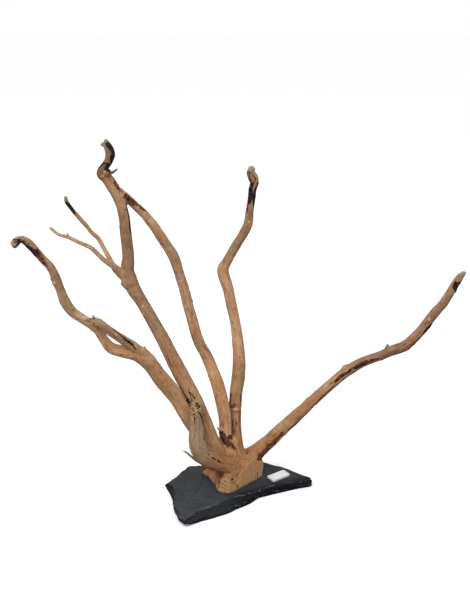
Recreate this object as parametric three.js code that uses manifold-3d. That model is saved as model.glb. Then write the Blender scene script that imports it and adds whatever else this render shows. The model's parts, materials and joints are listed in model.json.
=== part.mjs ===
// Driftwood branch screwed to a rough slate plate, in millimetres, +Z up.
// The origin is the middle of the slate's underside, X runs to the right and Y away from the front.
import * as THREE from 'three';
import { mergeVertices } from 'three/addons/utils/BufferGeometryUtils.js';
import Module from 'manifold-3d';

const wasm = await Module();
wasm.setup();

// Slate plate: an upper bed of stone on a lower one that shows along the front.
const SLATE_THICKNESS = 11;
const LOWER_BED_THICKNESS = 4.6;
const UPPER_BED_UNDERSIDE = 5.2;
// Clear space between pieces that touch.
const GAP = 0.3;
const WOOD_FOOT_HEIGHT = SLATE_THICKNESS + GAP;
// Sides of each round section, and the step along a limb.
const LIMB_SIDES = 10;
const TWIG_SIDES = 8;
const SPUR_SIDES = 6;
const SCREW_SIDES = 20;
const LIMB_STEP = 12;
// How far a limb's section departs from round, as a share of its radius.
const OVAL = 0.05;
const FLUTE = 0.035;
// Lengths of limb over which the oval and the flutes turn by a radian.
const OVAL_TWIST = 37;
const FLUTE_TWIST = 23;
// Roundness of a limb's tip, as a share of its radius.
const TIP_ROUNDING = 0.6;
// Width of a spur's broken tip.
const SPUR_BLUNT = 1.8;
// Label on the slate, turned to lie along the plate's front edge.
const LABEL = { length: 32, width: 16, thickness: 0.3, x: 75.5, y: 23.5, turn: 37 };
// Countersunk wood screw from the underside of the slate into the stump.
const SCREW = {
  x: 12,
  y: 27,
  headRadius: 4.2,
  headRim: 0.5,
  headDepth: 2.8,
  shankRadius: 2.2,
  recess: 0.6,
  length: 38,
  point: 6,
};
// Saw cut on the stump's front right: a point on its plane, its heading from +X and its lean back.
const SAW_CUT = { x: 27.5, y: -1.5, heading: -43, lean: 11 };
// Sawn root end low on the stump's front.
const ROOT_END = { x: -3, y: -27.5, heading: -103, lean: 14 };
// Size of the block of wood that a saw cut takes off, which is more than the stump.
const SAW_REACH = 140;

const WOOD_COLOUR = 0xaa825f;
const PALE_WOOD_COLOUR = 0x9c8668;
const WOOD_ROUGHNESS = 0.8;
const SLATE_COLOUR = 0x3e4144;
const SLATE_ROUGHNESS = 0.75;
const STEEL_COLOUR = 0x9a9a98;
const STEEL_ROUGHNESS = 0.35;
const STEEL_METALNESS = 0.9;
const PAPER_COLOUR = 0xf2f2ef;
const PAPER_ROUGHNESS = 0.6;

// Corners of the slate, clockwise from the left tip as seen from above:
// upper bed's top, upper bed's underside, lower bed, each as x and y.
const SLATE_CORNERS = [
  [[-94, 2], [-96, 6], [-95, 15]],
  [[-80, 24], [-82, 27], [-82, 28]],
  [[-62, 57], [-64, 59], [-63, 58]],
  [[-33, 62], [-34, 65], [-35, 63]],
  [[10, 68], [11, 70], [9, 69]],
  [[52, 72], [53, 74], [50, 72]],
  [[89, 51], [91, 53], [90, 52]],
  [[125, 21], [128, 22], [127, 20]],
  [[123, 11], [125, 10], [123, 13]],
  [[106, 8], [107, 5], [107, 8]],
  [[88, 4], [88, 1], [88, 0]],
  [[70, -2], [69, -7], [68, -9]],
  [[52, -9], [48, -19], [44, -20]],
  [[40, -20], [40, -29], [33, -35]],
  [[28, -25], [28, -36], [25, -42]],
  [[14, -28], [16, -44], [16, -48]],
  [[-6, -43], [-6, -57], [1, -62]],
  [[-20, -54], [-23, -69], [-18, -73]],
  [[-34, -62], [-33, -80], [-38, -83]],
  [[-45, -76], [-46, -92], [-46, -88]],
  [[-54, -90], [-55, -98], [-53, -90]],
  [[-59, -98], [-61, -99], [-60, -88]],
  [[-69, -87], [-70, -87], [-69, -77]],
  [[-79, -54], [-80, -52], [-77, -57]],
  [[-78, -21], [-83, -22], [-82, -24]],
  [[-81, -6], [-88, -4], [-88, -4]],
  [[-86, 0], [-92, 2], [-92, 6]],
];

// Outline of the stump where it stands on the slate, and how it draws in to its crown:
// each level is its height, its share of the foot's size and the middle that it draws in to.
const FOOT_OUTLINE = [
  [-35, 38], [-29, 18], [-20.5, 0], [-15.5, -16], [-9, -25], [2, -26], [17, -18], [34, -1],
  [50, 17], [53, 32], [52, 50], [40, 60], [20, 64], [-4, 62], [-24, 54],
];
const STUMP_LEVELS = [
  { height: 8, share: 0.98, x: 3, y: 20 },
  { height: 13, share: 0.99, x: 3, y: 20 },
  { height: 18, share: 0.9, x: 5, y: 24 },
  { height: 25, share: 0.8, x: 7, y: 27 },
  { height: 33, share: 0.7, x: 8, y: 29 },
  { height: 42, share: 0.56, x: 6, y: 30 },
  { height: 50, share: 0.42, x: 2, y: 29 },
  { height: 58, share: 0.26, x: -2, y: 27 },
];
// Rise of the crown's middle over the last level.
const CROWN_RISE = 5;
// Buttress low on the stump's left, as stations like a limb's.
const BUTTRESS = {
  stations: [[-6, 24, 26, 26], [-16, 26, 20, 20], [-27, 30, 15, 15], [-36, 35, 11, 9]],
};

// Limbs as stations [x, y, z, diameter] from base to tip. fork is the station where the limb
// leaves the wood below it, and the stretch before it belongs to that wood.
const LIMBS = {
  left_limb: {
    fork: 3,
    stations: [
      [-16, 16, 40, 28], [-30, 13, 69, 25], [-46.9, 11, 99.6, 23.4], [-58.6, 9, 119.2, 23.2],
      [-68.9, 7, 138.6, 22], [-77.9, 5, 155.2, 23.2], [-87.5, -1, 172, 24], [-96, -7, 187, 23.4],
      [-108, -14, 209, 23], [-121, -21, 225.5, 23], [-134.4, -26, 231.4, 19.3], [-147.4, -27, 234, 16.8],
      [-160.4, -28, 239.4, 15.4], [-168.9, -33, 253.9, 13.4], [-177, -39, 271, 12.5], [-191, -50, 288, 13],
      [-204.3, -56, 301, 13.2], [-212.3, -62, 318, 13.5], [-216.3, -66, 334, 12.5],
      [-221.3, -70, 354, 12.2], [-226.3, -72, 367, 11.6], [-234, -74, 377, 11.2], [-244, -77, 392, 11.2],
      [-250.8, -79, 401, 11.6], [-257.5, -81, 406, 9], [-262.6, -83, 405.6, 10], [-265.8, -84, 402.6, 12],
      [-266.4, -85, 399.6, 11], [-267, -85.5, 397.6, 7],
    ],
  },
  left_strand: {
    fork: 2,
    stations: [
      [-111, -17, 219, 17], [-120, -24.5, 231.5, 16], [-131.5, -32, 244.5, 14], [-145.5, -42, 259, 12.4],
      [-159.5, -48, 272, 11.6], [-171, -49, 282.5, 11.2], [-181, -48, 286, 10],
    ],
  },
  tall_limb: {
    fork: 3,
    stations: [
      [-12, 18, 36, 34], [-18, 16, 52, 33], [-31, 14, 87, 28], [-45, 18, 128, 24], [-53, 20, 147, 22.5],
      [-71.4, 26, 183, 22.6], [-89.4, 34, 219, 21], [-107.4, 42, 252, 19.4], [-123.4, 50, 278, 18.7],
      [-138.4, 57, 302, 20.9], [-144, 62, 322, 19.4], [-142.8, 66, 345, 17.2], [-145.8, 70, 375, 15.8],
      [-147.8, 73, 401, 15.8], [-155, 74, 428, 16.8], [-167.4, 72, 452, 16.8], [-175.6, 69, 462, 15],
      [-171, 65, 472, 12], [-165, 62, 480.5, 12.2], [-162, 59.5, 489.5, 12.8], [-162.6, 58, 496.5, 12],
      [-165.2, 57, 503, 10], [-166.6, 57, 509.5, 6.4],
    ],
  },
  high_twig: {
    fork: 1,
    sides: TWIG_SIDES,
    stations: [
      [-145, 62, 313, 19], [-153, 59, 319.5, 15.5], [-160.5, 54, 328.5, 11.6], [-164.8, 49.6, 337, 8.6],
      [-168.6, 46.8, 348.2, 6.9], [-174.5, 43, 362.2, 6.5], [-178.5, 40.4, 372.2, 6.4],
      [-181.9, 38.1, 378.6, 6.3], [-186.3, 35.1, 383.5, 6.2], [-189.8, 32.8, 388.2, 6],
      [-194.1, 30.1, 396, 5.9], [-199.9, 26.6, 404.3, 5.9], [-209.9, 22, 419, 5.5], [-217, 17, 432, 5.7],
      [-218, 15, 440, 4.4],
    ],
  },
  low_twig: {
    fork: 1,
    sides: TWIG_SIDES,
    stations: [
      [-154, 59, 322, 10], [-163.5, 56, 331.5, 9.4], [-177, 50, 343.4, 6.9], [-192, 46, 360.4, 6.5],
      [-208, 46, 368.4, 5.7], [-225, 50, 375.4, 5.3], [-239, 56, 377.9, 4.7], [-250.5, 60, 386, 4.4],
    ],
  },
  arch_limb: {
    fork: 2,
    stations: [
      [-2, 24, 36, 26], [-3, 29, 60, 22], [-4, 32, 78, 19.5], [-5.1, 40, 104, 18.8],
      [-15.1, 56, 144, 19.2], [-29.1, 70, 180, 17.4], [-44.1, 80, 208, 16.6], [-52.1, 87, 232, 16.6],
      [-60.1, 93, 261, 16.5], [-66.1, 97, 286, 15.7], [-73.1, 99, 309, 15.2], [-80.1, 100, 333, 15.8],
      [-93, 98, 356, 14.3], [-108, 94, 381, 13.9], [-124, 88, 403, 12.9], [-144, 78, 426, 12],
      [-157, 74, 438, 11.5],
    ],
  },
  upright_limb: {
    fork: 2,
    stations: [
      [17, 36, 30, 26], [12.6, 46, 52, 21], [10.8, 52, 76, 18.6], [10.2, 58, 103, 18.2],
      [11.2, 64, 130, 18.6], [15.2, 70, 156, 19.4], [16.2, 75, 185, 18.2], [14.2, 80, 207, 17.7],
      [10.2, 86, 235, 16.5], [4, 92, 263, 16.3], [-1, 97, 286, 16.7], [-8, 100, 311, 17.8],
      [-1, 100, 327, 15], [9.7, 96, 347.5, 13.8], [20.7, 92, 367.5, 13], [28.7, 90, 384.5, 12.6],
      [31, 90, 404, 12], [33.3, 88, 421, 11.6], [35, 82, 438, 11.8], [37.6, 78, 448, 12.4],
      [35.4, 75, 456, 14], [32, 72.5, 463, 10.6], [33.2, 71, 469.5, 8.4],
    ],
  },
  right_limb: {
    fork: 2,
    stations: [
      [14, 30, 29, 32], [28, 36, 35, 29], [44, 42, 45, 25], [62.2, 45, 60.1, 22.4], [82.2, 46, 81.1, 20],
      [105.2, 43, 106.1, 17.6], [126.2, 38, 131.1, 16], [147.2, 31, 156.1, 15.4], [166.2, 25, 178.1, 15.8],
      [176.2, 22, 187.1, 16.2], [195.2, 15, 202.1, 14.8], [214.2, 8, 212.1, 13.8], [233.2, 1, 224.1, 15],
      [249.2, -4, 234.1, 14.2], [266.2, -8, 255.1, 13.2], [283.2, -10, 282.1, 13.5],
      [295.5, -11, 299, 12.3], [304.9, -14, 319.2, 11.2], [309, -17, 330.2, 10.8], [312, -20, 337.2, 10],
      [314.6, -22, 342, 8], [317, -24, 345.2, 6],
    ],
  },
  front_stub: {
    fork: 2,
    stations: [
      [-4, -2, 44, 29], [-18, -8, 54, 28], [-31, -12, 63.5, 27.5], [-40.6, -15, 77, 26],
      [-44.8, -17, 92.5, 23.6], [-45, -17, 108, 21.5], [-45.5, -14, 124, 19.5], [-46, -10, 137, 17],
      [-46.7, -6, 146, 13],
    ],
  },
  rootlet: {
    fork: 1,
    sides: TWIG_SIDES,
    stations: [
      [-20, 11, 32, 10], [-27.4, 10, 35.7, 8], [-34.7, 8, 40.2, 6.4], [-41.9, 6, 45.2, 5.6],
      [-50.3, 5, 51.4, 5], [-57.6, 6, 57.7, 4.6], [-62.4, 7, 61.3, 4], [-67.4, 9, 62.2, 2.6],
    ],
  },
};

// Short broken twigs that stand out of a limb: root, tip, and width at the root and at the tip.
const SPURS = {
  left_limb: [
    { root: [-117, -24, 230], tip: [-113, -30, 243], width: 6 },
    { root: [-176, -46, 284], tip: [-179, -51, 296], width: 5 },
    { root: [-180, -44, 276], tip: [-184, -46, 269], width: 3.5 },
    { root: [-243.4, -79, 399], tip: [-246, -80, 405.5], width: 3.4 },
  ],
  tall_limb: [
    { root: [-146, 56, 299], tip: [-154, 50, 307], width: 4.5 },
    { root: [-168, 71, 458], tip: [-153, 66, 469], width: 4 },
    { root: [-165, 58, 501], tip: [-173, 56, 505.3], width: 6.5, blunt: 4.4 },
  ],
  low_twig: [{ root: [-224, 50, 375], tip: [-225, 47, 382], width: 3.2 }],
  arch_limb: [{ root: [-8, 31, 80], tip: [-16, 20, 95], width: 5 }],
  upright_limb: [{ root: [34, 71, 467.5], tip: [38.4, 70, 467], width: 6, blunt: 4.6 }],
  right_limb: [{ root: [224.5, 5, 219], tip: [224, 2, 233.5], width: 9.5, blunt: 2.8 }],
};

// Swellings and broken knobs on a limb and the root swellings of the stump: centre and radii.
const KNOBS = {
  left_limb: [{ at: [-220, -69, 346], radii: [6, 6, 6] }],
  tall_limb: [
    { at: [-168, 65, 464], radii: [6, 6, 5.5] },
    { at: [-141, 56, 306], radii: [12, 11, 10] },
  ],
  arch_limb: [{ at: [-151, 75, 436], radii: [4, 4, 4.5] }],
  upright_limb: [{ at: [10.6, 56, 108], radii: [8.2, 7.6, 4.6] }],
  right_limb: [{ at: [171.5, 22.5, 186], radii: [8.9, 8.6, 8.2] }],
  stump: [
    { at: [-4, -8, 23.5], radii: [10.5, 25, 11.5] },
    { at: [-10, -7, 19], radii: [8.5, 24, 8] },
    { at: [1, -8, 18], radii: [8.5, 25, 8.5] },
    { at: [14, 9, 28], radii: [19, 18, 14] },
    { at: [33, 29, 26], radii: [20, 20, 20] },
    { at: [2, 36, 60], radii: [15, 12, 14] },
    { at: [-4, 8, 34], radii: [17, 14, 15] },
  ],
};

/** Unit vector that points along a heading from +X and a rise above level, in degrees. */
function pointing(heading, rise) {
  const turn = THREE.MathUtils.degToRad(heading);
  const lift = THREE.MathUtils.degToRad(rise);
  return new THREE.Vector3(
    Math.cos(turn) * Math.cos(lift),
    Math.sin(turn) * Math.cos(lift),
    Math.sin(lift),
  );
}

/** Solid that a closed geometry encloses. */
function solidFrom(geometry) {
  const bare = geometry.clone();
  bare.deleteAttribute('normal');
  bare.deleteAttribute('uv');
  const merged = mergeVertices(bare, 1e-4);
  return new wasm.Manifold(new wasm.Mesh({
    numProp: 3,
    vertProperties: new Float32Array(merged.attributes.position.array),
    triVerts: new Uint32Array(merged.index.array),
  }));
}

/** Geometry of a solid. */
function geometryFrom(solid) {
  const mesh = solid.getMesh();
  const geometry = new THREE.BufferGeometry();
  geometry.setAttribute('position', new THREE.BufferAttribute(mesh.vertProperties, 3));
  geometry.setIndex(new THREE.BufferAttribute(mesh.triVerts, 1));
  geometry.computeVertexNormals();
  return geometry;
}

/** The biggest of a solid's separate pieces, which leaves out the crumbs of a cut. */
function biggestPiece(solid) {
  const pieces = solid.decompose();
  return pieces.reduce((best, piece) => (piece.volume() > best.volume() ? piece : best));
}

/** Closed skin over rings of points, with a fan over each end. */
function skin(rings, startPoint, endPoint) {
  const sides = rings[0].length;
  const corners = rings.flat();
  const start = corners.length;
  const end = start + 1;
  const triangles = [];
  for (let ring = 0; ring + 1 < rings.length; ring += 1) {
    for (let side = 0; side < sides; side += 1) {
      const here = ring * sides + side;
      const beside = ring * sides + (side + 1) % sides;
      triangles.push(here, beside, beside + sides, here, beside + sides, here + sides);
    }
  }
  const last = (rings.length - 1) * sides;
  for (let side = 0; side < sides; side += 1) {
    const beside = (side + 1) % sides;
    triangles.push(start, beside, side);
    triangles.push(end, last + side, last + beside);
  }
  const geometry = new THREE.BufferGeometry().setFromPoints([...corners, startPoint, endPoint]);
  geometry.setIndex(triangles);
  return geometry;
}

/** Rings along a limb: centre, direction, sideways axes, radius and distance from the base. */
function ringsAlong({ stations, sides = LIMB_SIDES }) {
  const path = new THREE.CatmullRomCurve3(stations.map(([x, y, z]) => new THREE.Vector3(x, y, z)));
  const spans = stations.length - 1;
  const rings = [];
  let across = new THREE.Vector3(0, -1, 0);
  let distance = 0;
  let previous = null;
  for (let span = 0; span <= spans; span += 1) {
    const here = path.getPoint(span / spans);
    const ahead = span < spans ? path.getPoint((span + 1) / spans) : here;
    const steps = Math.max(1, Math.round(here.distanceTo(ahead) / LIMB_STEP));
    for (let step = 0; step < (span < spans ? steps : 1); step += 1) {
      const share = step / steps;
      const t = (span + share) / spans;
      const centre = path.getPoint(t);
      const direction = path.getTangent(t);
      across = across.clone().addScaledVector(direction, -across.dot(direction)).normalize();
      const width = span < spans
        ? THREE.MathUtils.lerp(stations[span][3], stations[span + 1][3], share)
        : stations[span][3];
      distance += previous ? previous.distanceTo(centre) : 0;
      previous = centre;
      rings.push({
        centre, direction, across, sides, distance,
        upright: new THREE.Vector3().crossVectors(direction, across),
        radius: width / 2,
        station: span + share,
      });
    }
  }
  return rings;
}

/** Corners of a limb's section, a little oval and fluted, turning slowly along the limb. */
function section(ring, grow) {
  return Array.from({ length: ring.sides }, (_, side) => {
    const turn = (side / ring.sides) * 2 * Math.PI;
    const uneven = 1
      + OVAL * Math.cos(2 * turn + ring.distance / OVAL_TWIST)
      + FLUTE * Math.cos(3 * turn - ring.distance / FLUTE_TWIST);
    const reach = ring.radius * uneven + grow;
    return ring.centre.clone()
      .addScaledVector(ring.across, Math.cos(turn) * reach)
      .addScaledVector(ring.upright, Math.sin(turn) * reach);
  });
}

/** Stretch of a limb between two stations, its far end rounded a little where it is the tip. */
function stretch(limb, from, to, grow = 0) {
  const rings = ringsAlong(limb).filter(({ station }) => station >= from && station <= to);
  const first = rings[0];
  const last = rings[rings.length - 1];
  const isTip = last.station === limb.stations.length - 1;
  const startPoint = first.centre.clone().addScaledVector(first.direction, -grow);
  const endPoint = last.centre.clone()
    .addScaledVector(last.direction, isTip ? last.radius * TIP_ROUNDING + grow : grow);
  const sections = rings.map((ring) => section(ring, grow));
  if (grow > 0 && !isTip) {
    sections.push(sections[sections.length - 1].map((corner) => corner.clone()
      .addScaledVector(last.direction, grow)));
  }
  return solidFrom(skin(sections, startPoint, endPoint));
}

/** Stub of a broken twig, which narrows to a blunt tip. */
function spur({ root, tip, width, blunt = SPUR_BLUNT }, grow) {
  const from = new THREE.Vector3(...root);
  const along = new THREE.Vector3(...tip).sub(from);
  const length = along.length() + grow;
  const cone = new THREE.CylinderGeometry(blunt / 2 + grow, width / 2 + grow, length, SPUR_SIDES);
  cone.translate(0, along.length() / 2, 0);
  cone.applyQuaternion(new THREE.Quaternion().setFromUnitVectors(
    new THREE.Vector3(0, 1, 0),
    along.normalize(),
  ));
  cone.translate(from.x, from.y, from.z);
  return solidFrom(cone);
}

/** Lump of wood. */
function knob({ at, radii }, grow) {
  const lump = new THREE.IcosahedronGeometry(1, 1);
  lump.scale(radii[0] + grow, radii[1] + grow, radii[2] + grow);
  lump.translate(...at);
  return solidFrom(lump);
}

/** Wood with its own spurs and knobs fused on. */
function withLumps(wood, name, grow) {
  const withSpurs = (SPURS[name] ?? []).reduce((sum, entry) => sum.add(spur(entry, grow)), wood);
  return (KNOBS[name] ?? []).reduce((sum, entry) => sum.add(knob(entry, grow)), withSpurs);
}

/** A limb past its fork. grow adds a clear space all round, for cutting what lies against it. */
function limbPastFork(name, grow = 0) {
  const limb = LIMBS[name];
  return withLumps(stretch(limb, limb.fork - 1, limb.stations.length - 1, grow), name, grow);
}

/** Block on the far side of a plane through a point at foot height, for sawing wood off flat. */
function sawnAway(x, y, normal) {
  const block = new THREE.BoxGeometry(SAW_REACH, SAW_REACH, SAW_REACH);
  block.translate(0, 0, SAW_REACH / 2);
  block.applyQuaternion(new THREE.Quaternion().setFromUnitVectors(new THREE.Vector3(0, 0, 1), normal));
  block.translate(x, y, WOOD_FOOT_HEIGHT);
  return solidFrom(block);
}

/** Round body about a vertical axis at the screw's place, from a profile of [radius, height]. */
function roundAtScrew(profile) {
  const points = profile.map(([radius, height]) => new THREE.Vector2(radius, height));
  const body = new THREE.LatheGeometry(points, SCREW_SIDES);
  body.rotateX(Math.PI / 2);
  body.translate(SCREW.x, SCREW.y, 0);
  return solidFrom(body);
}

/** Screw with a flush countersunk head. grow adds clear space all round. */
function screwSolid(grow = 0) {
  const head = SCREW.recess;
  const neck = head + SCREW.headDepth;
  return roundAtScrew([
    [0, grow > 0 ? -1 : head],
    [SCREW.headRadius + grow, grow > 0 ? -1 : head],
    [SCREW.headRadius + grow, head + SCREW.headRim],
    [SCREW.shankRadius + grow, neck],
    [SCREW.shankRadius + grow, head + SCREW.length - SCREW.point],
    [0, head + SCREW.length + grow],
  ]);
}

/** Triangles that close a level outline, facing up or down, as corner numbers from an offset on. */
function capTriangles(ring, offset, facesUp) {
  const outline = ring.map(({ x, y }) => new THREE.Vector2(x, y));
  return THREE.ShapeUtils.triangulateShape(outline, []).flatMap((corners) => {
    const turnsLeft = THREE.ShapeUtils.area(corners.map((corner) => outline[corner])) > 0;
    const ordered = turnsLeft === facesUp ? corners : corners.toReversed();
    return ordered.map((corner) => corner + offset);
  });
}

/** Slate plate with its two beds, and the screw's countersunk hole. */
function slateSolid() {
  const level = (column, height) => SLATE_CORNERS
    .map((corner) => new THREE.Vector3(corner[column][0], corner[column][1], height));
  const rings = [level(2, 0), level(2, LOWER_BED_THICKNESS), level(1, UPPER_BED_UNDERSIDE),
    level(0, SLATE_THICKNESS)];
  const sides = SLATE_CORNERS.length;
  const triangles = [];
  for (let ring = 0; ring + 1 < rings.length; ring += 1) {
    for (let side = 0; side < sides; side += 1) {
      const here = ring * sides + side;
      const beside = ring * sides + (side + 1) % sides;
      triangles.push(here, beside + sides, beside, here, here + sides, beside + sides);
    }
  }
  triangles.push(...capTriangles(rings[0], 0, false));
  triangles.push(...capTriangles(rings[rings.length - 1], (rings.length - 1) * sides, true));
  const plate = new THREE.BufferGeometry().setFromPoints(rings.flat());
  plate.setIndex(triangles);
  return solidFrom(plate).subtract(screwSolid(GAP));
}

/** The stump's body on its foot, before the limbs are fused on. */
function stumpBody(grow) {
  const outline = new THREE.CatmullRomCurve3(
    FOOT_OUTLINE.map(([x, y]) => new THREE.Vector3(x, y, 0)),
    true,
  ).getPoints(FOOT_OUTLINE.length * 2).slice(0, -1);
  const rings = STUMP_LEVELS.map(({ height, share, x, y }) => outline.map((corner) => {
    const out = new THREE.Vector3(corner.x - x, corner.y - y, 0).multiplyScalar(share);
    out.setLength(out.length() + grow);
    return new THREE.Vector3(x + out.x, y + out.y, height);
  }));
  const bottom = STUMP_LEVELS[0];
  const crown = STUMP_LEVELS[STUMP_LEVELS.length - 1];
  return solidFrom(skin(
    rings,
    new THREE.Vector3(bottom.x, bottom.y, bottom.height),
    new THREE.Vector3(crown.x, crown.y, crown.height + CROWN_RISE),
  ));
}

// Limbs that leave the stump itself.
const FROM_STUMP = ['left_limb', 'tall_limb', 'arch_limb', 'upright_limb', 'right_limb', 'front_stub',
  'rootlet'];

/** Stump with the base of each limb up to its fork, the saw cut and the sawn root end. */
function stumpSolid(grow = 0) {
  const bases = FROM_STUMP.map((name) => stretch(LIMBS[name], 0, LIMBS[name].fork, grow));
  const foot = stumpBody(grow).add(stretch(BUTTRESS, 0, BUTTRESS.stations.length - 1, grow));
  const wood = withLumps(bases.reduce((sum, base) => sum.add(base), foot), 'stump', grow);
  const sawn = [SAW_CUT, ROOT_END].reduce(
    (left, { x, y, heading, lean }) => left.subtract(sawnAway(x, y, pointing(heading, lean))),
    wood,
  );
  return sawn.subtract(sawnAway(0, 0, new THREE.Vector3(0, 0, -1)));
}

/** Named mesh with its own material. */
function pieceOf(name, solid, colour, roughness, metalness = 0) {
  const material = new THREE.MeshStandardMaterial({ color: colour, roughness, metalness });
  const mesh = new THREE.Mesh(geometryFrom(solid), material);
  mesh.name = name;
  return mesh;
}

// Each limb is cut clear of the wood that it grows from and of the limbs that it lies against.
const LIES_AGAINST = {
  left_limb: [],
  left_strand: ['left_limb'],
  tall_limb: ['left_limb'],
  high_twig: ['tall_limb'],
  low_twig: ['tall_limb', 'high_twig'],
  arch_limb: ['tall_limb'],
  upright_limb: ['arch_limb'],
  right_limb: [],
  front_stub: ['left_limb', 'tall_limb'],
  rootlet: ['front_stub'],
};

const branch = new THREE.Group();
branch.name = 'driftwood_branch';

const grownStump = stumpSolid(GAP);
const drilledStump = biggestPiece(stumpSolid().subtract(screwSolid(GAP)));
branch.add(pieceOf('stump', drilledStump, WOOD_COLOUR, WOOD_ROUGHNESS));

for (const [name, neighbours] of Object.entries(LIES_AGAINST)) {
  const limb = neighbours.reduce(
    (wood, neighbour) => wood.subtract(limbPastFork(neighbour, GAP)),
    limbPastFork(name).subtract(grownStump),
  );
  const colour = name === 'front_stub' ? PALE_WOOD_COLOUR : WOOD_COLOUR;
  branch.add(pieceOf(name, biggestPiece(limb), colour, WOOD_ROUGHNESS));
}

branch.add(pieceOf('slate', slateSolid(), SLATE_COLOUR, SLATE_ROUGHNESS));
branch.add(pieceOf('screw', screwSolid(), STEEL_COLOUR, STEEL_ROUGHNESS, STEEL_METALNESS));

const labelShape = new THREE.BoxGeometry(LABEL.length, LABEL.width, LABEL.thickness);
const label = new THREE.Mesh(
  labelShape,
  new THREE.MeshStandardMaterial({ color: PAPER_COLOUR, roughness: PAPER_ROUGHNESS, metalness: 0 }),
);
label.name = 'label';
label.position.set(LABEL.x, LABEL.y, SLATE_THICKNESS + GAP + LABEL.thickness / 2);
label.rotation.z = THREE.MathUtils.degToRad(LABEL.turn);
branch.add(label);

export default branch;
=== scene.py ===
"""Driftwood branch screwed to a rough slate plate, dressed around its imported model.

Measures are in millimetres until they reach Blender, which works in metres.
"""

import json
import logging
import math
from collections.abc import Sequence
from dataclasses import dataclass, field
from enum import Enum

import bpy
import numpy as np
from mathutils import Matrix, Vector

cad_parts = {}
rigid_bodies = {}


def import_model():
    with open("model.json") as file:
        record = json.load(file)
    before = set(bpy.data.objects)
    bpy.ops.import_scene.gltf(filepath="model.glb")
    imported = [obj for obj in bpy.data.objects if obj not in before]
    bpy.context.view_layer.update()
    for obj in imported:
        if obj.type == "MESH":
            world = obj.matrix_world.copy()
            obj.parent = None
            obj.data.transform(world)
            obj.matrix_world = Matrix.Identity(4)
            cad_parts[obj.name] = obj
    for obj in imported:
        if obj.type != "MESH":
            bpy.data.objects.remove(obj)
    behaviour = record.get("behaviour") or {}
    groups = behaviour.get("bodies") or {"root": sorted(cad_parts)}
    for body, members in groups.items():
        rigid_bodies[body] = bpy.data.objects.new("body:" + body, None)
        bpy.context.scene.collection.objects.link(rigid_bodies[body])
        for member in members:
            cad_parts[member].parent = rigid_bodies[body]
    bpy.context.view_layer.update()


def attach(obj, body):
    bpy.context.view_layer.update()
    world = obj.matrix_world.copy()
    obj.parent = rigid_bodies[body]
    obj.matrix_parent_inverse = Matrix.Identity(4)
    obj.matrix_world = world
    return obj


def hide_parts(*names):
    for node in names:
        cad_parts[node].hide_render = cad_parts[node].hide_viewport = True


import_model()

MM = 0.001
BODY = "root"
LOG = logging.getLogger("driftwood")

Array = np.ndarray
Point = tuple[float, float, float]
Station = tuple[float, float, float, float]
Colour = tuple[float, float, float, float]
Piece = bpy.types.Object

# Heights above the surface that the plate stands on.
SLATE_TOP = 11.0
WOOD_FOOT = 10.9
# Edge of a surface cell on the wood and on the slate.
WOOD_CELL = 0.85
STUMP_CELL = 1.1
SLATE_CELL = 0.66
SCREW_CELL = 0.22
# Step between samples along a limb.
LIMB_STEP = 2.0
SEED = 41


class Slot(Enum):
    """Material slots of the record."""

    WOOD = "wood"
    WEATHERED = "weathered_wood"
    SLATE = "slate"
    SCREW = "screw"
    LABEL = "label"


class Kind(Enum):
    """What a mark on the wood is."""

    BARK = "bark"
    CHAR = "char"
    STAIN = "stain"
    CRACK = "crack"
    PIT = "pit"
    KNOT = "knot"
    CRUMB = "crumb"
    # Pale patch: pale chips of wood, partly a painted highlight.
    PALE_AND_HIGHLIGHT = "pale"
    # Painted shade: a soft dark tint where shade falls, on undersides, in creases and in hollows.
    PAINTED_SHADE = "shade"
    ASH = "ash"


@dataclass(frozen=True)
class Effect:
    """What a kind of mark does to the wood's surface.

    Attributes:
        rise: height of the mark above the wood, in mm for each mm of its depth.
        rough: height of its own roughness, in mm.
        jag: how far chance moves its edge, as a share of its size.
        tint: surface attribute that it fills.
    """

    rise: float
    rough: float
    jag: float
    tint: str


EFFECTS = {
    Kind.BARK: Effect(rise=1.0, rough=0.28, jag=0.9, tint="bark"),
    Kind.CHAR: Effect(rise=1.0, rough=0.3, jag=0.5, tint="char"),
    Kind.STAIN: Effect(rise=0.0, rough=0.0, jag=0.6, tint="stain"),
    Kind.CRACK: Effect(rise=-1.0, rough=0.1, jag=0.35, tint="char"),
    Kind.PIT: Effect(rise=-1.0, rough=0.0, jag=0.2, tint="char"),
    Kind.KNOT: Effect(rise=1.0, rough=0.1, jag=0.1, tint="pale"),
    Kind.CRUMB: Effect(rise=-1.0, rough=1.3, jag=0.5, tint="crumb"),
    Kind.PALE_AND_HIGHLIGHT: Effect(rise=0.0, rough=0.0, jag=0.8, tint="pale"),
    # Painted shade darkens the colour and leaves the surface as it is.
    Kind.PAINTED_SHADE: Effect(rise=0.0, rough=0.0, jag=0.5, tint="shade"),
    Kind.ASH: Effect(rise=0.0, rough=0.1, jag=0.7, tint="ash"),
}


@dataclass(frozen=True)
class Limb:
    """One limb of the branch.

    Attributes:
        name: CAD node that the limb stands for past its fork.
        parent: node that holds the stretch before the fork.
        fork: number of the station where the limb leaves its parent.
        stations: centre and diameter at each station, from base to tip.
    """

    name: str
    parent: str
    fork: int
    stations: tuple[Station, ...]


@dataclass(frozen=True)
class Spur:
    """Short broken twig: its root, its tip and its width at either end."""

    root: Point
    tip: Point
    width: float
    blunt: float = 1.8


@dataclass(frozen=True)
class Knob:
    """Rounded swelling: its centre and its radii."""

    at: Point
    radii: Point


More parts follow.
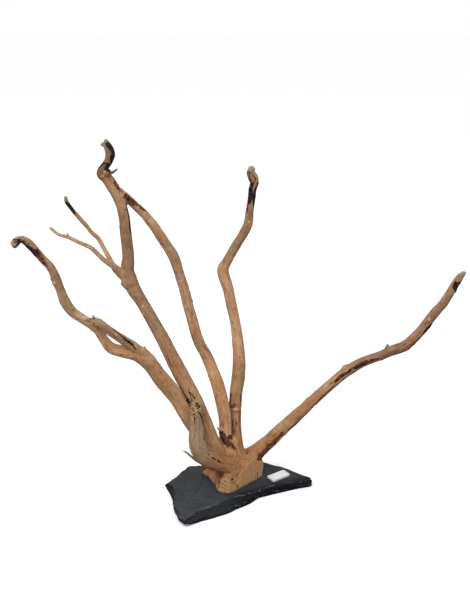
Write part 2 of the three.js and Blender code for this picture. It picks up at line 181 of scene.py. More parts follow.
@dataclass(frozen=True)
class Mark:
    """Mark on a limb, by its distance along the limb and its side.

    Attributes:
        kind: what the mark is.
        limb: limb that it is on.
        start: distance from the limb's first station to the mark's near end.
        end: distance to its far end.
        sides: degrees round the limb, evenly from start to end: 0 faces the front and 90 the right.
        widths: its widths across the limb, evenly from start to end.
        depth: how far it is raised or sunk.
    """

    kind: Kind
    limb: str
    start: float
    end: float
    sides: tuple[float, ...]
    widths: tuple[float, ...]
    depth: float


@dataclass(frozen=True)
class Spot:
    """Mark on the wood between two points in space."""

    kind: Kind
    start: Point
    end: Point
    width: float
    depth: float


@dataclass(frozen=True)
class Lump:
    """Soft rise of the surface about a point, or a hollow where its height is negative."""

    at: Point
    radius: float
    height: float


LIMBS = (
    Limb("left_limb", "stump", 3, (
        (-16, 16, 40, 28), (-30, 13, 69, 25), (-46.9, 11, 99.6, 23.4), (-58.6, 9, 119.2, 23.2),
        (-68.9, 7, 138.6, 22), (-77.9, 5, 155.2, 23.2), (-87.5, -1, 172, 24), (-96, -7, 187, 23.4),
        (-108, -14, 209, 23), (-121, -21, 225.5, 23), (-134.4, -26, 231.4, 19.3), (-147.4, -27, 234, 16.8),
        (-160.4, -28, 239.4, 15.4), (-168.9, -33, 253.9, 13.4), (-177, -39, 271, 12.5),
        (-191, -50, 288, 13), (-204.3, -56, 301, 13.2), (-212.3, -62, 318, 13.5), (-216.3, -66, 334, 12.5),
        (-221.3, -70, 354, 12.2), (-226.3, -72, 367, 11.6), (-234, -74, 377, 11.2), (-244, -77, 392, 11.2),
        (-250.8, -79, 401, 11.6), (-257.5, -81, 406, 9), (-262.6, -83, 405.6, 10),
        (-265.8, -84, 402.6, 12), (-266.4, -85, 399.6, 11), (-267, -85.5, 397.6, 7),
    )),
    Limb("left_strand", "left_limb", 2, (
        (-111, -17, 219, 17), (-120, -24.5, 231.5, 16), (-131.5, -32, 244.5, 14), (-145.5, -42, 259, 12.4),
        (-159.5, -48, 272, 11.6), (-171, -49, 282.5, 11.2), (-181, -48, 286, 10),
    )),
    Limb("tall_limb", "stump", 3, (
        (-12, 18, 36, 34), (-18, 16, 52, 33), (-31, 14, 87, 28), (-45, 18, 128, 24), (-53, 20, 147, 22.5),
        (-71.4, 26, 183, 22.6), (-89.4, 34, 219, 21), (-107.4, 42, 252, 19.4), (-123.4, 50, 278, 18.7),
        (-138.4, 57, 302, 20.9), (-144, 62, 322, 19.4), (-142.8, 66, 345, 17.2), (-145.8, 70, 375, 15.8),
        (-147.8, 73, 401, 15.8), (-155, 74, 428, 16.8), (-167.4, 72, 452, 16.8), (-175.6, 69, 462, 15),
        (-171, 65, 472, 12), (-165, 62, 480.5, 12.2), (-162, 59.5, 489.5, 12.8), (-162.6, 58, 496.5, 12),
        (-165.2, 57, 503, 10), (-166.6, 57, 509.5, 6.4),
    )),
    Limb("high_twig", "tall_limb", 1, (
        (-145, 62, 313, 19), (-153, 59, 319.5, 15.5), (-160.5, 54, 328.5, 11.6), (-164.8, 49.6, 337, 8.6),
        (-168.6, 46.8, 348.2, 6.9), (-174.5, 43, 362.2, 6.5), (-178.5, 40.4, 372.2, 6.4),
        (-181.9, 38.1, 378.6, 6.3), (-186.3, 35.1, 383.5, 6.2), (-189.8, 32.8, 388.2, 6),
        (-194.1, 30.1, 396, 5.9), (-199.9, 26.6, 404.3, 5.9), (-209.9, 22, 419, 5.5), (-217, 17, 432, 5.7),
        (-218, 15, 440, 4.4),
    )),
    Limb("low_twig", "tall_limb", 1, (
        (-154, 59, 322, 10), (-163.5, 56, 331.5, 9.4), (-177, 50, 343.4, 6.9), (-192, 46, 360.4, 6.5),
        (-208, 46, 368.4, 5.7), (-225, 50, 375.4, 5.3), (-239, 56, 377.9, 4.7), (-250.5, 60, 386, 4.4),
    )),
    Limb("arch_limb", "stump", 2, (
        (-2, 24, 36, 26), (-3, 29, 60, 22), (-4, 32, 78, 19.5), (-5.1, 40, 104, 18.8),
        (-15.1, 56, 144, 19.2), (-29.1, 70, 180, 17.4), (-44.1, 80, 208, 16.6), (-52.1, 87, 232, 16.6),
        (-60.1, 93, 261, 16.5), (-66.1, 97, 286, 15.7), (-73.1, 99, 309, 15.2), (-80.1, 100, 333, 15.8),
        (-93, 98, 356, 14.3), (-108, 94, 381, 13.9), (-124, 88, 403, 12.9), (-144, 78, 426, 12),
        (-157, 74, 438, 11.5),
    )),
    Limb("upright_limb", "stump", 2, (
        (17, 36, 30, 26), (12.6, 46, 52, 21), (10.8, 52, 76, 18.6), (10.2, 58, 103, 18.2),
        (11.2, 64, 130, 18.6), (15.2, 70, 156, 19.4), (16.2, 75, 185, 18.2), (14.2, 80, 207, 17.7),
        (10.2, 86, 235, 16.5), (4, 92, 263, 16.3), (-1, 97, 286, 16.7), (-8, 100, 311, 17.8),
        (-1, 100, 327, 15), (9.7, 96, 347.5, 13.8), (20.7, 92, 367.5, 13), (28.7, 90, 384.5, 12.6),
        (31, 90, 404, 12), (33.3, 88, 421, 11.6), (35, 82, 438, 11.8), (37.6, 78, 448, 12.4),
        (35.4, 75, 456, 14), (32, 72.5, 463, 10.6), (33.2, 71, 469.5, 8.4),
    )),
    Limb("right_limb", "stump", 2, (
        (14, 30, 29, 32), (28, 36, 35, 29), (44, 42, 45, 25), (62.2, 45, 60.1, 22.4), (82.2, 46, 81.1, 20),
        (105.2, 43, 106.1, 17.6), (126.2, 38, 131.1, 16), (147.2, 31, 156.1, 15.4),
        (166.2, 25, 178.1, 15.8), (176.2, 22, 187.1, 16.2), (195.2, 15, 202.1, 14.8),
        (214.2, 8, 212.1, 13.8), (233.2, 1, 224.1, 15), (249.2, -4, 234.1, 14.2), (266.2, -8, 255.1, 13.2),
        (283.2, -10, 282.1, 13.5), (295.5, -11, 299, 12.3), (304.9, -14, 319.2, 11.2),
        (309, -17, 330.2, 10.8), (312, -20, 337.2, 10), (314.6, -22, 342, 8), (317, -24, 345.2, 6),
    )),
    Limb("front_stub", "stump", 2, (
        (3, 7, 37, 27), (-17, -7, 53, 28), (-31, -12, 63.5, 27.5), (-40.6, -15, 77, 26),
        (-44.8, -17, 92.5, 23.6), (-45, -17, 108, 21.5), (-45.5, -14, 124, 19.5), (-46, -10, 137, 17),
        (-46.7, -6, 146, 13),
    )),
    Limb("rootlet", "stump", 1, (
        (-20, 11, 32, 10), (-27.4, 10, 35.7, 8), (-34.7, 8, 40.2, 6.4), (-41.9, 6, 45.2, 5.6),
        (-50.3, 5, 51.4, 5), (-57.6, 6, 57.7, 4.6), (-62.4, 7, 61.3, 4), (-67.4, 9, 62.2, 2.6),
    )),
)

# Limbs whose far end grows into another limb, and so isn't broken off.
GROWN_IN = ("left_strand", "arch_limb")

SPURS = (
    Spur((-115.5, -24, 232), (-112.6, -29, 244.5), 7.5, 2.0),
    Spur((-176, -46, 284), (-179, -51, 296), 5),
    Spur((-180, -44, 276), (-184, -46, 269), 3.5),
    Spur((-146, 56, 299), (-154, 50, 307), 4.5),
    Spur((-168, 71, 458), (-153, 66, 469), 4),
    Spur((-165, 58, 501), (-173, 56, 505.3), 6.5, 4.4),
    Spur((-243.4, -79, 399), (-246, -80, 405.5), 3.4, 1.4),
    Spur((-256.5, -81, 408), (-254.3, -80, 412), 2.4, 1.2),
    Spur((-224, 50, 375), (-225, 47, 382), 3.2),
    Spur((-8, 31, 80), (-16, 20, 95), 5),
    Spur((34, 71, 467.5), (38.4, 70, 467), 6, 4.6),
    Spur((224.5, 5, 219), (224, 2, 233.5), 9.5, 2.8),
)

KNOBS = (
    Knob((-220, -69, 346), (6, 6, 6)),
    Knob((-168, 65, 464), (6, 6, 5.5)),
    Knob((-141, 56, 306), (12, 11, 10)),
    Knob((-151, 75, 436), (4, 4, 4.5)),
    Knob((10.6, 56, 108), (8.2, 7.6, 4.6)),
    Knob((171.5, 22.5, 186), (8.9, 8.6, 8.2)),
)

STUMP_KNOBS = (
    Knob((-4, -8, 23.5), (10.5, 25, 11.5)),
    Knob((-10, -7, 19), (8.5, 24, 8)),
    Knob((1, -8, 18), (8.5, 25, 8.5)),
    Knob((15, 9, 25.5), (18, 17, 13)),
    Knob((24, 19, 28), (17, 17, 16.5)),
    Knob((33, 29, 27), (20, 20, 20.5)),
    Knob((2, 36, 60), (15, 12, 14)),
    Knob((-4, 8, 34), (17, 14, 15)),
)
# Buttress of the foot, low on the left, as centre and diameter from its root to its end.
BUTTRESS = (
    (-6, 24, 26, 26), (-16, 26, 20, 20), (-27, 30, 15, 15), (-36, 35, 11, 9),
)

# Outline of the stump on the slate, and its levels: height, share of the outline and middle.
FOOT_OUTLINE = (
    (-35, 38), (-29, 18), (-20.5, 0), (-15.5, -16), (-9, -25), (2, -26), (17, -18), (34, -1),
    (50, 17), (53, 32), (52, 50), (40, 60), (20, 64), (-4, 62), (-24, 54),
)
STUMP_LEVELS = (
    (8, 0.98, 3, 20), (13, 0.99, 3, 20), (18, 0.9, 5, 24), (25, 0.8, 7, 27), (33, 0.7, 8, 29),
    (42, 0.56, 6, 30), (50, 0.42, 2, 29), (58, 0.26, -2, 27),
)


# Pairs of limbs that meet in a crease, with their share of the full web.
CREASES = (
    ("left_limb", "tall_limb", 0.25), ("tall_limb", "arch_limb", 0.35), ("upright_limb", "arch_limb", 0.4),
    ("front_stub", "tall_limb", 0.1), ("front_stub", "arch_limb", 0.2), ("rootlet", "front_stub", 0.1),
    ("rootlet", "left_limb", 0.5), ("upright_limb", "right_limb", 0.1), ("high_twig", "low_twig", 0.25),
)


@dataclass(frozen=True)
class SawPlane:
    """Flat saw cut: a point of it at foot height, its heading from +X and its lean back."""

    x: float
    y: float
    heading: float
    lean: float

    @property
    def point(self) -> Array:
        """Point on the plane."""
        return np.array((self.x, self.y, 11.3))

    @property
    def normal(self) -> Array:
        """Unit vector out of the wood."""
        turn, lift = math.radians(self.heading), math.radians(self.lean)
        return np.array((math.cos(turn) * math.cos(lift), math.sin(turn) * math.cos(lift), math.sin(lift)))


SAW_CUT = SawPlane(27.5, -1.5, -43, 11)
ROOT_END = SawPlane(-3, -27.5, -103, 14)

MARKS = (
    Mark(Kind.CHAR, "tall_limb", 490, 525, (30, 44, 58, 70, 62, 52, 66), (14, 14, 12, 11, 12, 13, 10), 0.3),
    Mark(Kind.CHAR, "tall_limb", 468, 493, (-78, -72, -64, -20), (3.5, 4.5, 6.5, 9), 0.2),
    Mark(Kind.CHAR, "tall_limb", 479, 496, (55, 52, 44), (7, 9, 14), 0.3),
    Mark(Kind.STAIN, "tall_limb", 464, 488, (-34, -30, -20), (9, 10, 8), 0.0),
    Mark(Kind.BARK, "tall_limb", 435, 455, (68, 54, 48, 57), (5, 6.5, 4.5, 3.5), 0.4),
    Mark(Kind.CHAR, "tall_limb", 374, 427, (58, 62, 66, 92), (2.2, 3, 3.2, 3), 0.1),
    Mark(Kind.CRACK, "tall_limb", 169, 190, (-30,), (1.8,), 1.2),
    Mark(Kind.CRACK, "tall_limb", 110, 138, (-46,), (2.6,), 2.0),
    Mark(Kind.CRACK, "tall_limb", 110, 127, (2,), (1.7,), 1.2),
    Mark(Kind.BARK, "arch_limb", 416, 444, (46, 12, 26), (6, 12, 7), 0.4),
    Mark(Kind.BARK, "arch_limb", 397, 418, (76, 60, 50), (2.6, 3.2, 3.8), 0.3),
    Mark(Kind.CHAR, "high_twig", 128, 152, (20,), (6,), 0.3),
    Mark(Kind.CHAR, "left_limb", 436, 460, (-18, -27, -38), (13, 12.5, 10), 0.3),
    Mark(Kind.CHAR, "left_limb", 458, 476, (-48, -54), (8, 7), 0.2),
    Mark(Kind.BARK, "left_limb", 452, 479, (-32, -38, -42, -48), (15, 15, 14, 11), 0.3),
    Mark(Kind.BARK, "left_limb", 421, 450, (-4, 10, 20), (8, 11, 8), 0.4),
    Mark(Kind.KNOT, "left_limb", 395, 402, (-85,), (6,), 1.2),
    Mark(Kind.CHAR, "left_strand", 36, 58, (34, 46, 50), (3.2, 5.2, 3.4), 0.2),
    Mark(Kind.CRACK, "left_strand", 29, 74, (16, 36, 46, 50, 62, 74), (1.8, 4.6, 4.2, 3.8, 3, 2.2), 0.9),
    Mark(Kind.CHAR, "upright_limb", 440, 461, (-66, -76), (6, 5), 0.3),
    Mark(Kind.CHAR, "upright_limb", 434, 447, (-38, -26), (7, 5), 0.3),
    Mark(Kind.CHAR, "upright_limb", 402, 441, (-44, -34, -30, -38), (9, 11, 11, 8), 0.35),
    Mark(Kind.CHAR, "upright_limb", 402, 445, (58, 50, 56, 50), (7, 10, 9, 7), 0.35),
    Mark(Kind.BARK, "upright_limb", 393, 401, (-42,), (3.6,), 0.3),
    # Painted shade on the upright's front-left side, in the crease towards the arch.
    Mark(Kind.PAINTED_SHADE, "upright_limb", 22, 76, (-45, -30, -50), (20, 22, 14), 0.0),
    Mark(Kind.STAIN, "upright_limb", 40, 84, (56,), (8,), 0.0),
    Mark(Kind.BARK, "right_limb", 84, 150, (38, 44), (3.4, 2.8), 0.3),
    Mark(Kind.BARK, "right_limb", 150, 205, (30, 10), (2.4, 3), 0.2),
    Mark(Kind.BARK, "right_limb", 203, 241, (-13, -10, -11, -7), (3.4, 5.6, 4.4, 6.6), 0.2),
    Mark(Kind.BARK, "right_limb", 238, 281, (-9, -12, -4, -10), (5.4, 7.6, 5.4, 3.4), 0.2),
    Mark(Kind.CHAR, "right_limb", 207, 213, (-14,), (3.2,), 0.2),
    Mark(Kind.CHAR, "right_limb", 217, 223, (-9, -12), (3.4,), 0.2),
    Mark(Kind.CHAR, "right_limb", 227, 236, (-13, -6), (3.4, 4.8), 0.2),
    Mark(Kind.CHAR, "right_limb", 240, 251, (-8, -13), (3.6, 5.4), 0.2),
    Mark(Kind.CHAR, "right_limb", 249, 262, (-13, -3), (3.4, 4), 0.2),
    Mark(Kind.CHAR, "right_limb", 267, 275, (-14, -9), (2.8,), 0.2),
    # Painted shade along the right limb's front and underside.
    Mark(Kind.PAINTED_SHADE, "right_limb", 200, 290, (62, 56, 50), (12, 11, 12), 0.0),
    Mark(Kind.PAINTED_SHADE, "right_limb", 286, 372, (42, 44, 52, 56), (15, 17, 15, 12), 0.0),
    Mark(Kind.BARK, "right_limb", 292, 352, (26, 42, 50, 34), (5, 6, 7, 4), 0.3),
    Mark(Kind.CHAR, "right_limb", 354, 374, (40, 48), (8, 6), 0.3),
    Mark(Kind.PAINTED_SHADE, "right_limb", 374, 430, (62, 72), (10, 10), 0.0),
    Mark(Kind.CHAR, "right_limb", 392, 432, (72, 78), (4.4, 5), 0.3),
    Mark(Kind.CHAR, "right_limb", 424, 447, (84, 52, 34, 44, 66), (6, 12, 17, 15, 9), 0.3),
)

# Spots are laid on the surface along this line of sight.
SIGHT = np.array((0.0, 0.95, -0.312))

SPOTS = (
    Spot(Kind.CRACK, (-70, 3, 167), (-63, 3, 153), 2.2, 2.0),
    Spot(Kind.CRACK, (-63, 3, 153), (-56, 2, 141.5), 3.4, 3.0),
    Spot(Kind.CRACK, (-57.4, 11, 159), (-52.7, 9.8, 151.7), 1.6, 1.2),
    Spot(Kind.CRACK, (-52.7, 9.8, 151.7), (-48, 9, 145.6), 2.4, 1.6),
    Spot(Kind.CRUMB, (-51, -11, 140), (-42, -12, 137), 14, 0.8),
    Spot(Kind.CRUMB, (-49.5, -18, 132), (-46.5, -20, 128), 8, 0.5),
    Spot(Kind.CRUMB, (-46, -8, 150), (-42, -6, 150), 9, 0.5),
    Spot(Kind.PIT, (-45.2, -11, 149), (-44.8, -11, 148), 3.4, 2.4),
    Spot(Kind.PIT, (-42.6, -10, 147.4), (-42, -10, 146), 4.2, 2.6),
    Spot(Kind.PIT, (-45.2, -12, 145), (-44.6, -12, 144.4), 3.2, 2.2),
    Spot(Kind.PIT, (-40.8, -11, 144.4), (-39.6, -11, 142.4), 4.2, 2.6),
    Spot(Kind.PIT, (-42.8, -12, 141.8), (-42.2, -12, 141.2), 2.8, 1.8),
    Spot(Kind.PIT, (-51, -13, 139.4), (-49.4, -14, 138), 2.2, 1.4),
    Spot(Kind.PIT, (-49.5, -16, 134.4), (-48.2, -17, 133.4), 2.2, 1.4),
    Spot(Kind.PIT, (-47.6, -20, 129.6), (-47, -20, 128.8), 1.8, 1.2),
    Spot(Kind.CRACK, (-38.6, -14, 134), (-35.6, -10, 123), 3.2, 2.2),
    Spot(Kind.CRACK, (-35.6, -10, 123), (-33.6, -8, 111), 2.8, 1.8),
    Spot(Kind.CRACK, (-33.8, -8, 109), (-33.6, -14, 93), 1.3, 0.8),
    Spot(Kind.CRACK, (-22.8, -21, 67.4), (-18.2, -20.4, 63.8), 2.6, 1.4),
    Spot(Kind.CRACK, (-14.6, -19.3, 61), (-10.6, -18, 57.4), 2.9, 1.4),
    Spot(Kind.CRACK, (-8.6, -17.5, 56), (-6.6, -17, 54), 1.4, 0.7),
    Spot(Kind.CRACK, (-28, -22.5, 74.4), (-27, -22, 71), 1.3, 0.6),
    # The next two stains lie in the valley under the front stub and also stand in for the shade there.
    Spot(Kind.STAIN, (-24, 3, 37), (-12, -8, 33), 12, 0.0),
    Spot(Kind.STAIN, (-17, -4, 30), (-18, -7, 14), 9, 0.0),
    Spot(Kind.STAIN, (-6, -18, 49), (-12, -18, 46), 6, 0.0),
    Spot(Kind.PIT, (6.2, -18.9, 29.9), (7, -18.9, 29.5), 3.6, 2.4),
    Spot(Kind.STAIN, (9, -18, 27), (12, -16, 20), 3.4, 0.0),
    Spot(Kind.BARK, (12.6, -15.5, 19), (13.6, -15.2, 15), 2.4, 0.3),
    Spot(Kind.CRACK, (-14, -23, 26.5), (-7, -24, 25), 0.9, 0.5),
    Spot(Kind.CRACK, (-7, -24, 25), (0, -24.5, 21), 0.8, 0.4),
    Spot(Kind.CRACK, (-14.5, -23, 22), (-6, -24.5, 19.5), 0.9, 0.5),
    Spot(Kind.CRACK, (-6, -24.5, 19.5), (-2, -25, 16.5), 0.7, 0.4),
    Spot(Kind.CRACK, (-8, -23.5, 30.5), (1, -24, 28.5), 0.7, 0.4),
    Spot(Kind.STAIN, (-12, -23, 18), (-4, -24, 15), 3.0, 0.0),
    Spot(Kind.BARK, (-15.5, -20, 17), (-12, -22, 29), 2.2, 0.3),
    Spot(Kind.CRACK, (44.1, 18.9, 21), (44.1, 17, 12.6), 1.3, 0.9),
    Spot(Kind.CRACK, (41.2, 18, 16), (41.4, 17, 12.6), 1.0, 0.7),
    Spot(Kind.CRACK, (28.7, 31.7, 49.4), (28.9, 30, 46.4), 1.3, 0.7),
    Spot(Kind.STAIN, (24, 16.9, 44.4), (28, 17.5, 43), 1.8, 0.0),
    Spot(Kind.STAIN, (12, 10, 52), (18, 12, 49), 1.6, 0.0),
    Spot(Kind.PIT, (14, 4, 45), (14.6, 4, 44.6), 1.8, 0.7),
    Spot(Kind.BARK, (-11, 23, 84), (-6, 21, 77), 8, 0.5),
    Spot(Kind.BARK, (-5, 21, 76), (2, 22, 67), 10, 0.6),
    Spot(Kind.BARK, (2, 24, 78), (4, 27, 74), 6, 0.5),
    Spot(Kind.BARK, (3, 21, 66), (9.4, 22.8, 58.6), 5.5, 0.5),
    Spot(Kind.CHAR, (-9.4, 22, 77), (-5.6, 19, 69), 3.6, 0.3),
    # Raised pale knot above the bark; its pale tint is partly a painted highlight.
    Spot(Kind.KNOT, (-10.4, 26, 90), (-8.6, 25, 87), 5.0, 0.9),
    Spot(Kind.BARK, (7.4, 47, 95), (6.8, 46, 86), 2.8, 0.3),
    Spot(Kind.BARK, (12, 44, 92), (12.5, 44, 85), 2.0, 0.3),
    Spot(Kind.BARK, (18.4, 50, 101), (17.4, 50, 91), 2.4, 0.3),
    Spot(Kind.BARK, (4.2, 59, 131), (2.4, 56, 117), 3.6, 0.3),
    Spot(Kind.BARK, (9.4, 52, 116), (6, 53, 113), 6.5, 0.3),
    Spot(Kind.BARK, (18.4, 58, 130), (19.2, 55, 113), 2.2, 0.3),
    Spot(Kind.KNOT, (9, 50, 109.8), (13, 50, 109.4), 4.4, 0.5),
    Spot(Kind.BARK, (46.5, 27, 39.6), (56, 33, 51), 8.4, 0.5),
    Spot(Kind.STAIN, (48, 27, 43), (60, 33, 56), 10, 0.0),
    Spot(Kind.BARK, (56, 33, 51.5), (67.5, 35.4, 62), 7.6, 0.5),
    Spot(Kind.BARK, (67.5, 35.4, 62), (80, 37.4, 76.6), 6.4, 0.4),
    Spot(Kind.STAIN, (12, 16, 60), (14, 16, 52), 3, 0.0),
    Spot(Kind.STAIN, (1, 14, 54), (6, 14, 51), 2.2, 0.0),
    # Painted shade in the valley under the overhang of the front stub.
    Spot(Kind.PAINTED_SHADE, (-16, -6, 30), (-6, -14, 16), 22, 0.0),
    Spot(Kind.PAINTED_SHADE, (-24, 0, 40), (-12, -8, 34), 16, 0.0),
    Spot(Kind.PAINTED_SHADE, (-30, 10, 30), (-18, 0, 28), 12, 0.0),
    Spot(Kind.BARK, (-182.8, -49.2, 288.4), (-180.1, -46.5, 286.3), 2.0, 0.4),
    Spot(Kind.BARK, (-178.4, -42, 287.4), (-175.4, -39.8, 284.6), 2.2, 0.3),
    Spot(Kind.BARK, (-173.8, -38, 281.7), (-171.8, -37.4, 279.7), 2.4, 0.3),
    Spot(Kind.STAIN, (-188.6, -56, 288.7), (-184.5, -53.9, 286.6), 2.6, 0.0),
    # Pale chips at the strand's fork, partly painted highlight.
    Spot(Kind.PALE_AND_HIGHLIGHT, (-190.4, -55, 291.8), (-180.4, -50.4, 281.1), 6.4, 0.0),
    Spot(Kind.PALE_AND_HIGHLIGHT, (-186.4, -49, 291.6), (-176.4, -46.4, 290.2), 4.4, 0.0),
    Spot(Kind.BARK, (-184, -49, 285.4), (-181.6, -48, 283.2), 1.8, 0.2),
    Spot(Kind.BARK, (-186, -50, 287.6), (-184.6, -49, 286.4), 1.6, 0.2),
    Spot(Kind.BARK, (-178.6, -46, 281.4), (-177.4, -45, 279.6), 1.6, 0.2),
    Spot(Kind.STAIN, (-172, -44, 276), (-166, -42, 270), 4.0, 0.0),
    Spot(Kind.KNOT, (-176, 60, 458.4), (-172.6, 60, 460.4), 4.4, 0.7),
    Spot(Kind.KNOT, (-170.6, 58, 466.4), (-167.6, 58, 468.4), 4.8, 0.9),
    Spot(Kind.CHAR, (-267.2, -87.4, 407.4), (-261.3, -87.5, 407.6), 2.0, 0.2),
    Spot(Kind.CHAR, (-261.3, -87.5, 407.4), (-260.2, -87.1, 402.6), 2.2, 0.2),
    Spot(Kind.STAIN, (-265.4, -89.3, 405), (-262.6, -89, 404), 3.4, 0.0),
    Spot(Kind.CHAR, (-261.4, -87.4, 401.6), (-265.4, -89.5, 398.6), 1.3, 0.2),
    Spot(Kind.ASH, (-268.9, -88.3, 400.4), (-262.6, -89, 402), 5.0, 0.0),
    Spot(Kind.BARK, (29.4, 67.9, 464.5), (32, 67.3, 462.9), 2.4, 0.2),
    Spot(Kind.BARK, (32, 67.3, 462.9), (35, 67.9, 460.4), 2.0, 0.2),
    Spot(Kind.BARK, (35, 67.9, 460.4), (38.3, 68.8, 455.1), 2.0, 0.2),
    Spot(Kind.BARK, (38.3, 68.8, 455.1), (38, 70, 450.4), 2.2, 0.2),
    Spot(Kind.BARK, (38, 70, 450.4), (35.5, 71.5, 447.9), 2.4, 0.2),
    Spot(Kind.BARK, (29.4, 70, 461), (33.6, 71, 449), 2.0, 0.2),
)

LUMPS = (
    Lump((-15, -4, 33), 9, -4.5),
    Lump((-19, -3, 23), 8, -4.0),
    Lump((-263.2, -89, 404), 3.2, -3.0),
)

# Shade of each limb against height: 1 is the wood's own, less is darker.
TONES = {
    "left_limb": ((69, 1.02), (100, 1.02), (119, 1.05), (139, 1.04), (155, 1.07), (172, 1.12), (187, 1.06),
        (209, 1.02), (226, 1.06), (239, 1.08), (254, 1.14), (271, 1.14), (288, 1.08), (301, 1.06),
        (318, 0.93), (334, 0.91), (354, 0.89), (367, 0.86), (377, 0.91), (392, 0.95), (403, 0.87)),
    "left_strand": ((232, 1.03), (259, 0.91), (272, 0.88), (282, 0.9)),
    "tall_limb": ((52, 1.02), (87, 1.02), (128, 0.97), (147, 0.97), (183, 0.96), (219, 0.94), (252, 0.83),
        (278, 0.83), (302, 0.9), (322, 0.8), (345, 0.83), (375, 0.81), (401, 0.88), (428, 1.03),
        (452, 1.04), (462, 0.84), (490, 0.81), (503, 0.83)),
    "high_twig": ((320, 0.97), (337, 1.04), (348, 1.09), (362, 1.15), (372, 1.16), (384, 1.09),
        (396, 0.99), (432, 0.96)),
    "low_twig": ((332, 1), (343, 1.04), (360, 1.04), (375, 1.04)),
    "arch_limb": ((60, 1.08), (104, 1.06), (144, 1.08), (180, 1.09), (208, 0.91), (232, 1.03), (261, 1.01),
        (286, 1.01), (309, 0.96), (333, 0.92), (356, 0.94), (381, 1.04), (403, 1.14)),
    "upright_limb": ((52, 1), (103, 0.99), (130, 0.95), (156, 0.91), (185, 1.07), (207, 1.11), (235, 1.07),
        (263, 1.03), (286, 1.05), (311, 1.09), (327, 1), (348, 0.88), (368, 0.87), (384, 0.87),
        (404, 0.98), (448, 1.03), (463, 0.99)),
    "right_limb": ((35, 0.96), (60, 1), (81, 1), (106, 0.98), (131, 1.01), (156, 1.02), (178, 1.04),
        (187, 1), (212, 0.84), (224, 0.81), (234, 0.84), (255, 0.95), (282, 0.84), (299, 0.86),
        (319, 0.95), (337, 0.96)),
    "front_stub": ((54, 0.94), (64, 0.9), (77, 0.93), (92, 0.98), (108, 0.98), (124, 0.86), (137, 0.77)),
    "rootlet": ((45, 0.89), (58, 0.92)),
}


def srgb(red: float, green: float, blue: float) -> Colour:
    """Linear colour from the 0 to 255 values that a screen shows."""
    shares = (value / 255 for value in (red, green, blue))
    linear = [share / 12.92 if share <= 0.04045 else ((share + 0.055) / 1.055) ** 2.4 for share in shares]
    return (*linear, 1.0)


def rounded(outline: Array, steps: int) -> Array:
    """Smooth closed curve through an outline's corners.

    Args:
        outline: the corners, a row each.
        steps: points from each corner to the next.

    Returns:
        The curve's points.
    """
    before, there, after = (np.roll(outline, shift, axis=0) for shift in (1, -1, -2))
    rows = [0.5 * (
        2 * outline + (there - before) * t
        + (2 * before - 5 * outline + 4 * there - after) * t**2
        + (3 * outline - before - 3 * there + after) * t**3
    ) for t in np.arange(steps) / steps]
    return np.stack(rows, axis=1).reshape(-1, outline.shape[1])


def smooth_step(low: float, high: float, value: Array) -> Array:
    """Share that rises smoothly from 0 at low to 1 at high."""
    share = np.clip((value - low) / (high - low), 0, 1)
    return share * share * (3 - 2 * share)


class Field:
    """Smooth random field over space, with the same values on each run."""

    SIZE = 8192

    def __init__(self, seed: int) -> None:
        """Draws the field's values.

        Args:
            seed: number that picks the field.
        """
        self.values = np.random.default_rng(seed).uniform(-1, 1, self.SIZE)

    def drawn(self, cell: Array, shift: int = 0) -> Array:
        """Value from -1 to 1 that belongs to each whole-numbered cell."""
        key = (cell[:, 0] * 73856093) ^ (cell[:, 1] * 19349663) ^ (cell[:, 2] * 83492791)
        return self.values[(key + shift) & (self.SIZE - 1)]

    def at(self, places: Array) -> Array:
        """Value from -1 to 1 at each place, with hills one unit apart."""
        corner = np.floor(places).astype(np.int64)
        share = places - corner
        share = share * share * (3 - 2 * share)
        total = np.zeros(len(places))
        for offset in np.ndindex(2, 2, 2):
            weight = np.prod(np.where(np.array(offset, bool), share, 1 - share), axis=1)
            total += weight * self.drawn(corner + offset)
        return total

    def layered(self, places: Array, layers: int) -> Array:
        """Sum of finer and finer fields, each half as high as the last."""
        return sum(self.at(places * 2**layer + 31.7 * layer) / 2**layer for layer in range(layers))

    def hollow(self, places: Array) -> Array:
        """Distance from each place to the nearest of points scattered one to a unit cell."""
        cell = np.floor(places).astype(np.int64)
        nearest = np.full(len(places), 9.0)
        for offset in np.ndindex(3, 3, 3):
            beside = cell + np.array(offset) - 1
            centre = beside + 0.5 + 0.45 * np.stack([self.drawn(beside, shift) for shift in (0, 101, 202)], 1)
            nearest = np.minimum(nearest, ((centre - places) ** 2).sum(1))
        return np.sqrt(nearest)


def deselect() -> None:
    """Clears the selection, on which operators act."""
    bpy.ops.object.select_all(action="DESELECT")


def take(*pieces: Piece) -> None:
    """Selects these pieces alone, the first of them active."""
    deselect()
    for piece in pieces:
        piece.select_set(True)
    bpy.context.view_layer.objects.active = pieces[0]


def named(name: str) -> Piece:
    """Gives the active object and its mesh a name.

    Args:
        name: the new name.

    Returns:
        The active object.
    """
    piece = bpy.context.active_object
    piece.name = name
    piece.data.name = name
    return piece


def joined(name: str, pieces: Sequence[Piece]) -> Piece:
    """Joins pieces into one object.

    Args:
        name: name of the result.
        pieces: what is joined.

    Returns:
        The one object, its place in its mesh.
    """
    take(*pieces)
    bpy.ops.object.join()
    bpy.ops.object.transform_apply(location=True, rotation=True, scale=True)
    return named(name)


def finish_with(piece: Piece, kind: str, **settings: object) -> None:
    """Adds a modifier to a piece and applies it.

    Args:
        piece: the piece.
        kind: the modifier's type.
        settings: its settings by name.
    """
    take(piece)
    modifier = piece.modifiers.new(kind.lower(), kind)
    for name, value in settings.items():
        setattr(modifier, name, value)
    bpy.ops.object.modifier_apply(modifier=modifier.name)


def even_skin(piece: Piece, cell: float) -> None:
    """Fuses a piece's parts into one closed skin of even cells.

    Args:
        piece: the piece.
        cell: edge of a cell in mm.
    """
    finish_with(piece, "REMESH", mode="VOXEL", voxel_size=cell * MM, use_smooth_shade=True)


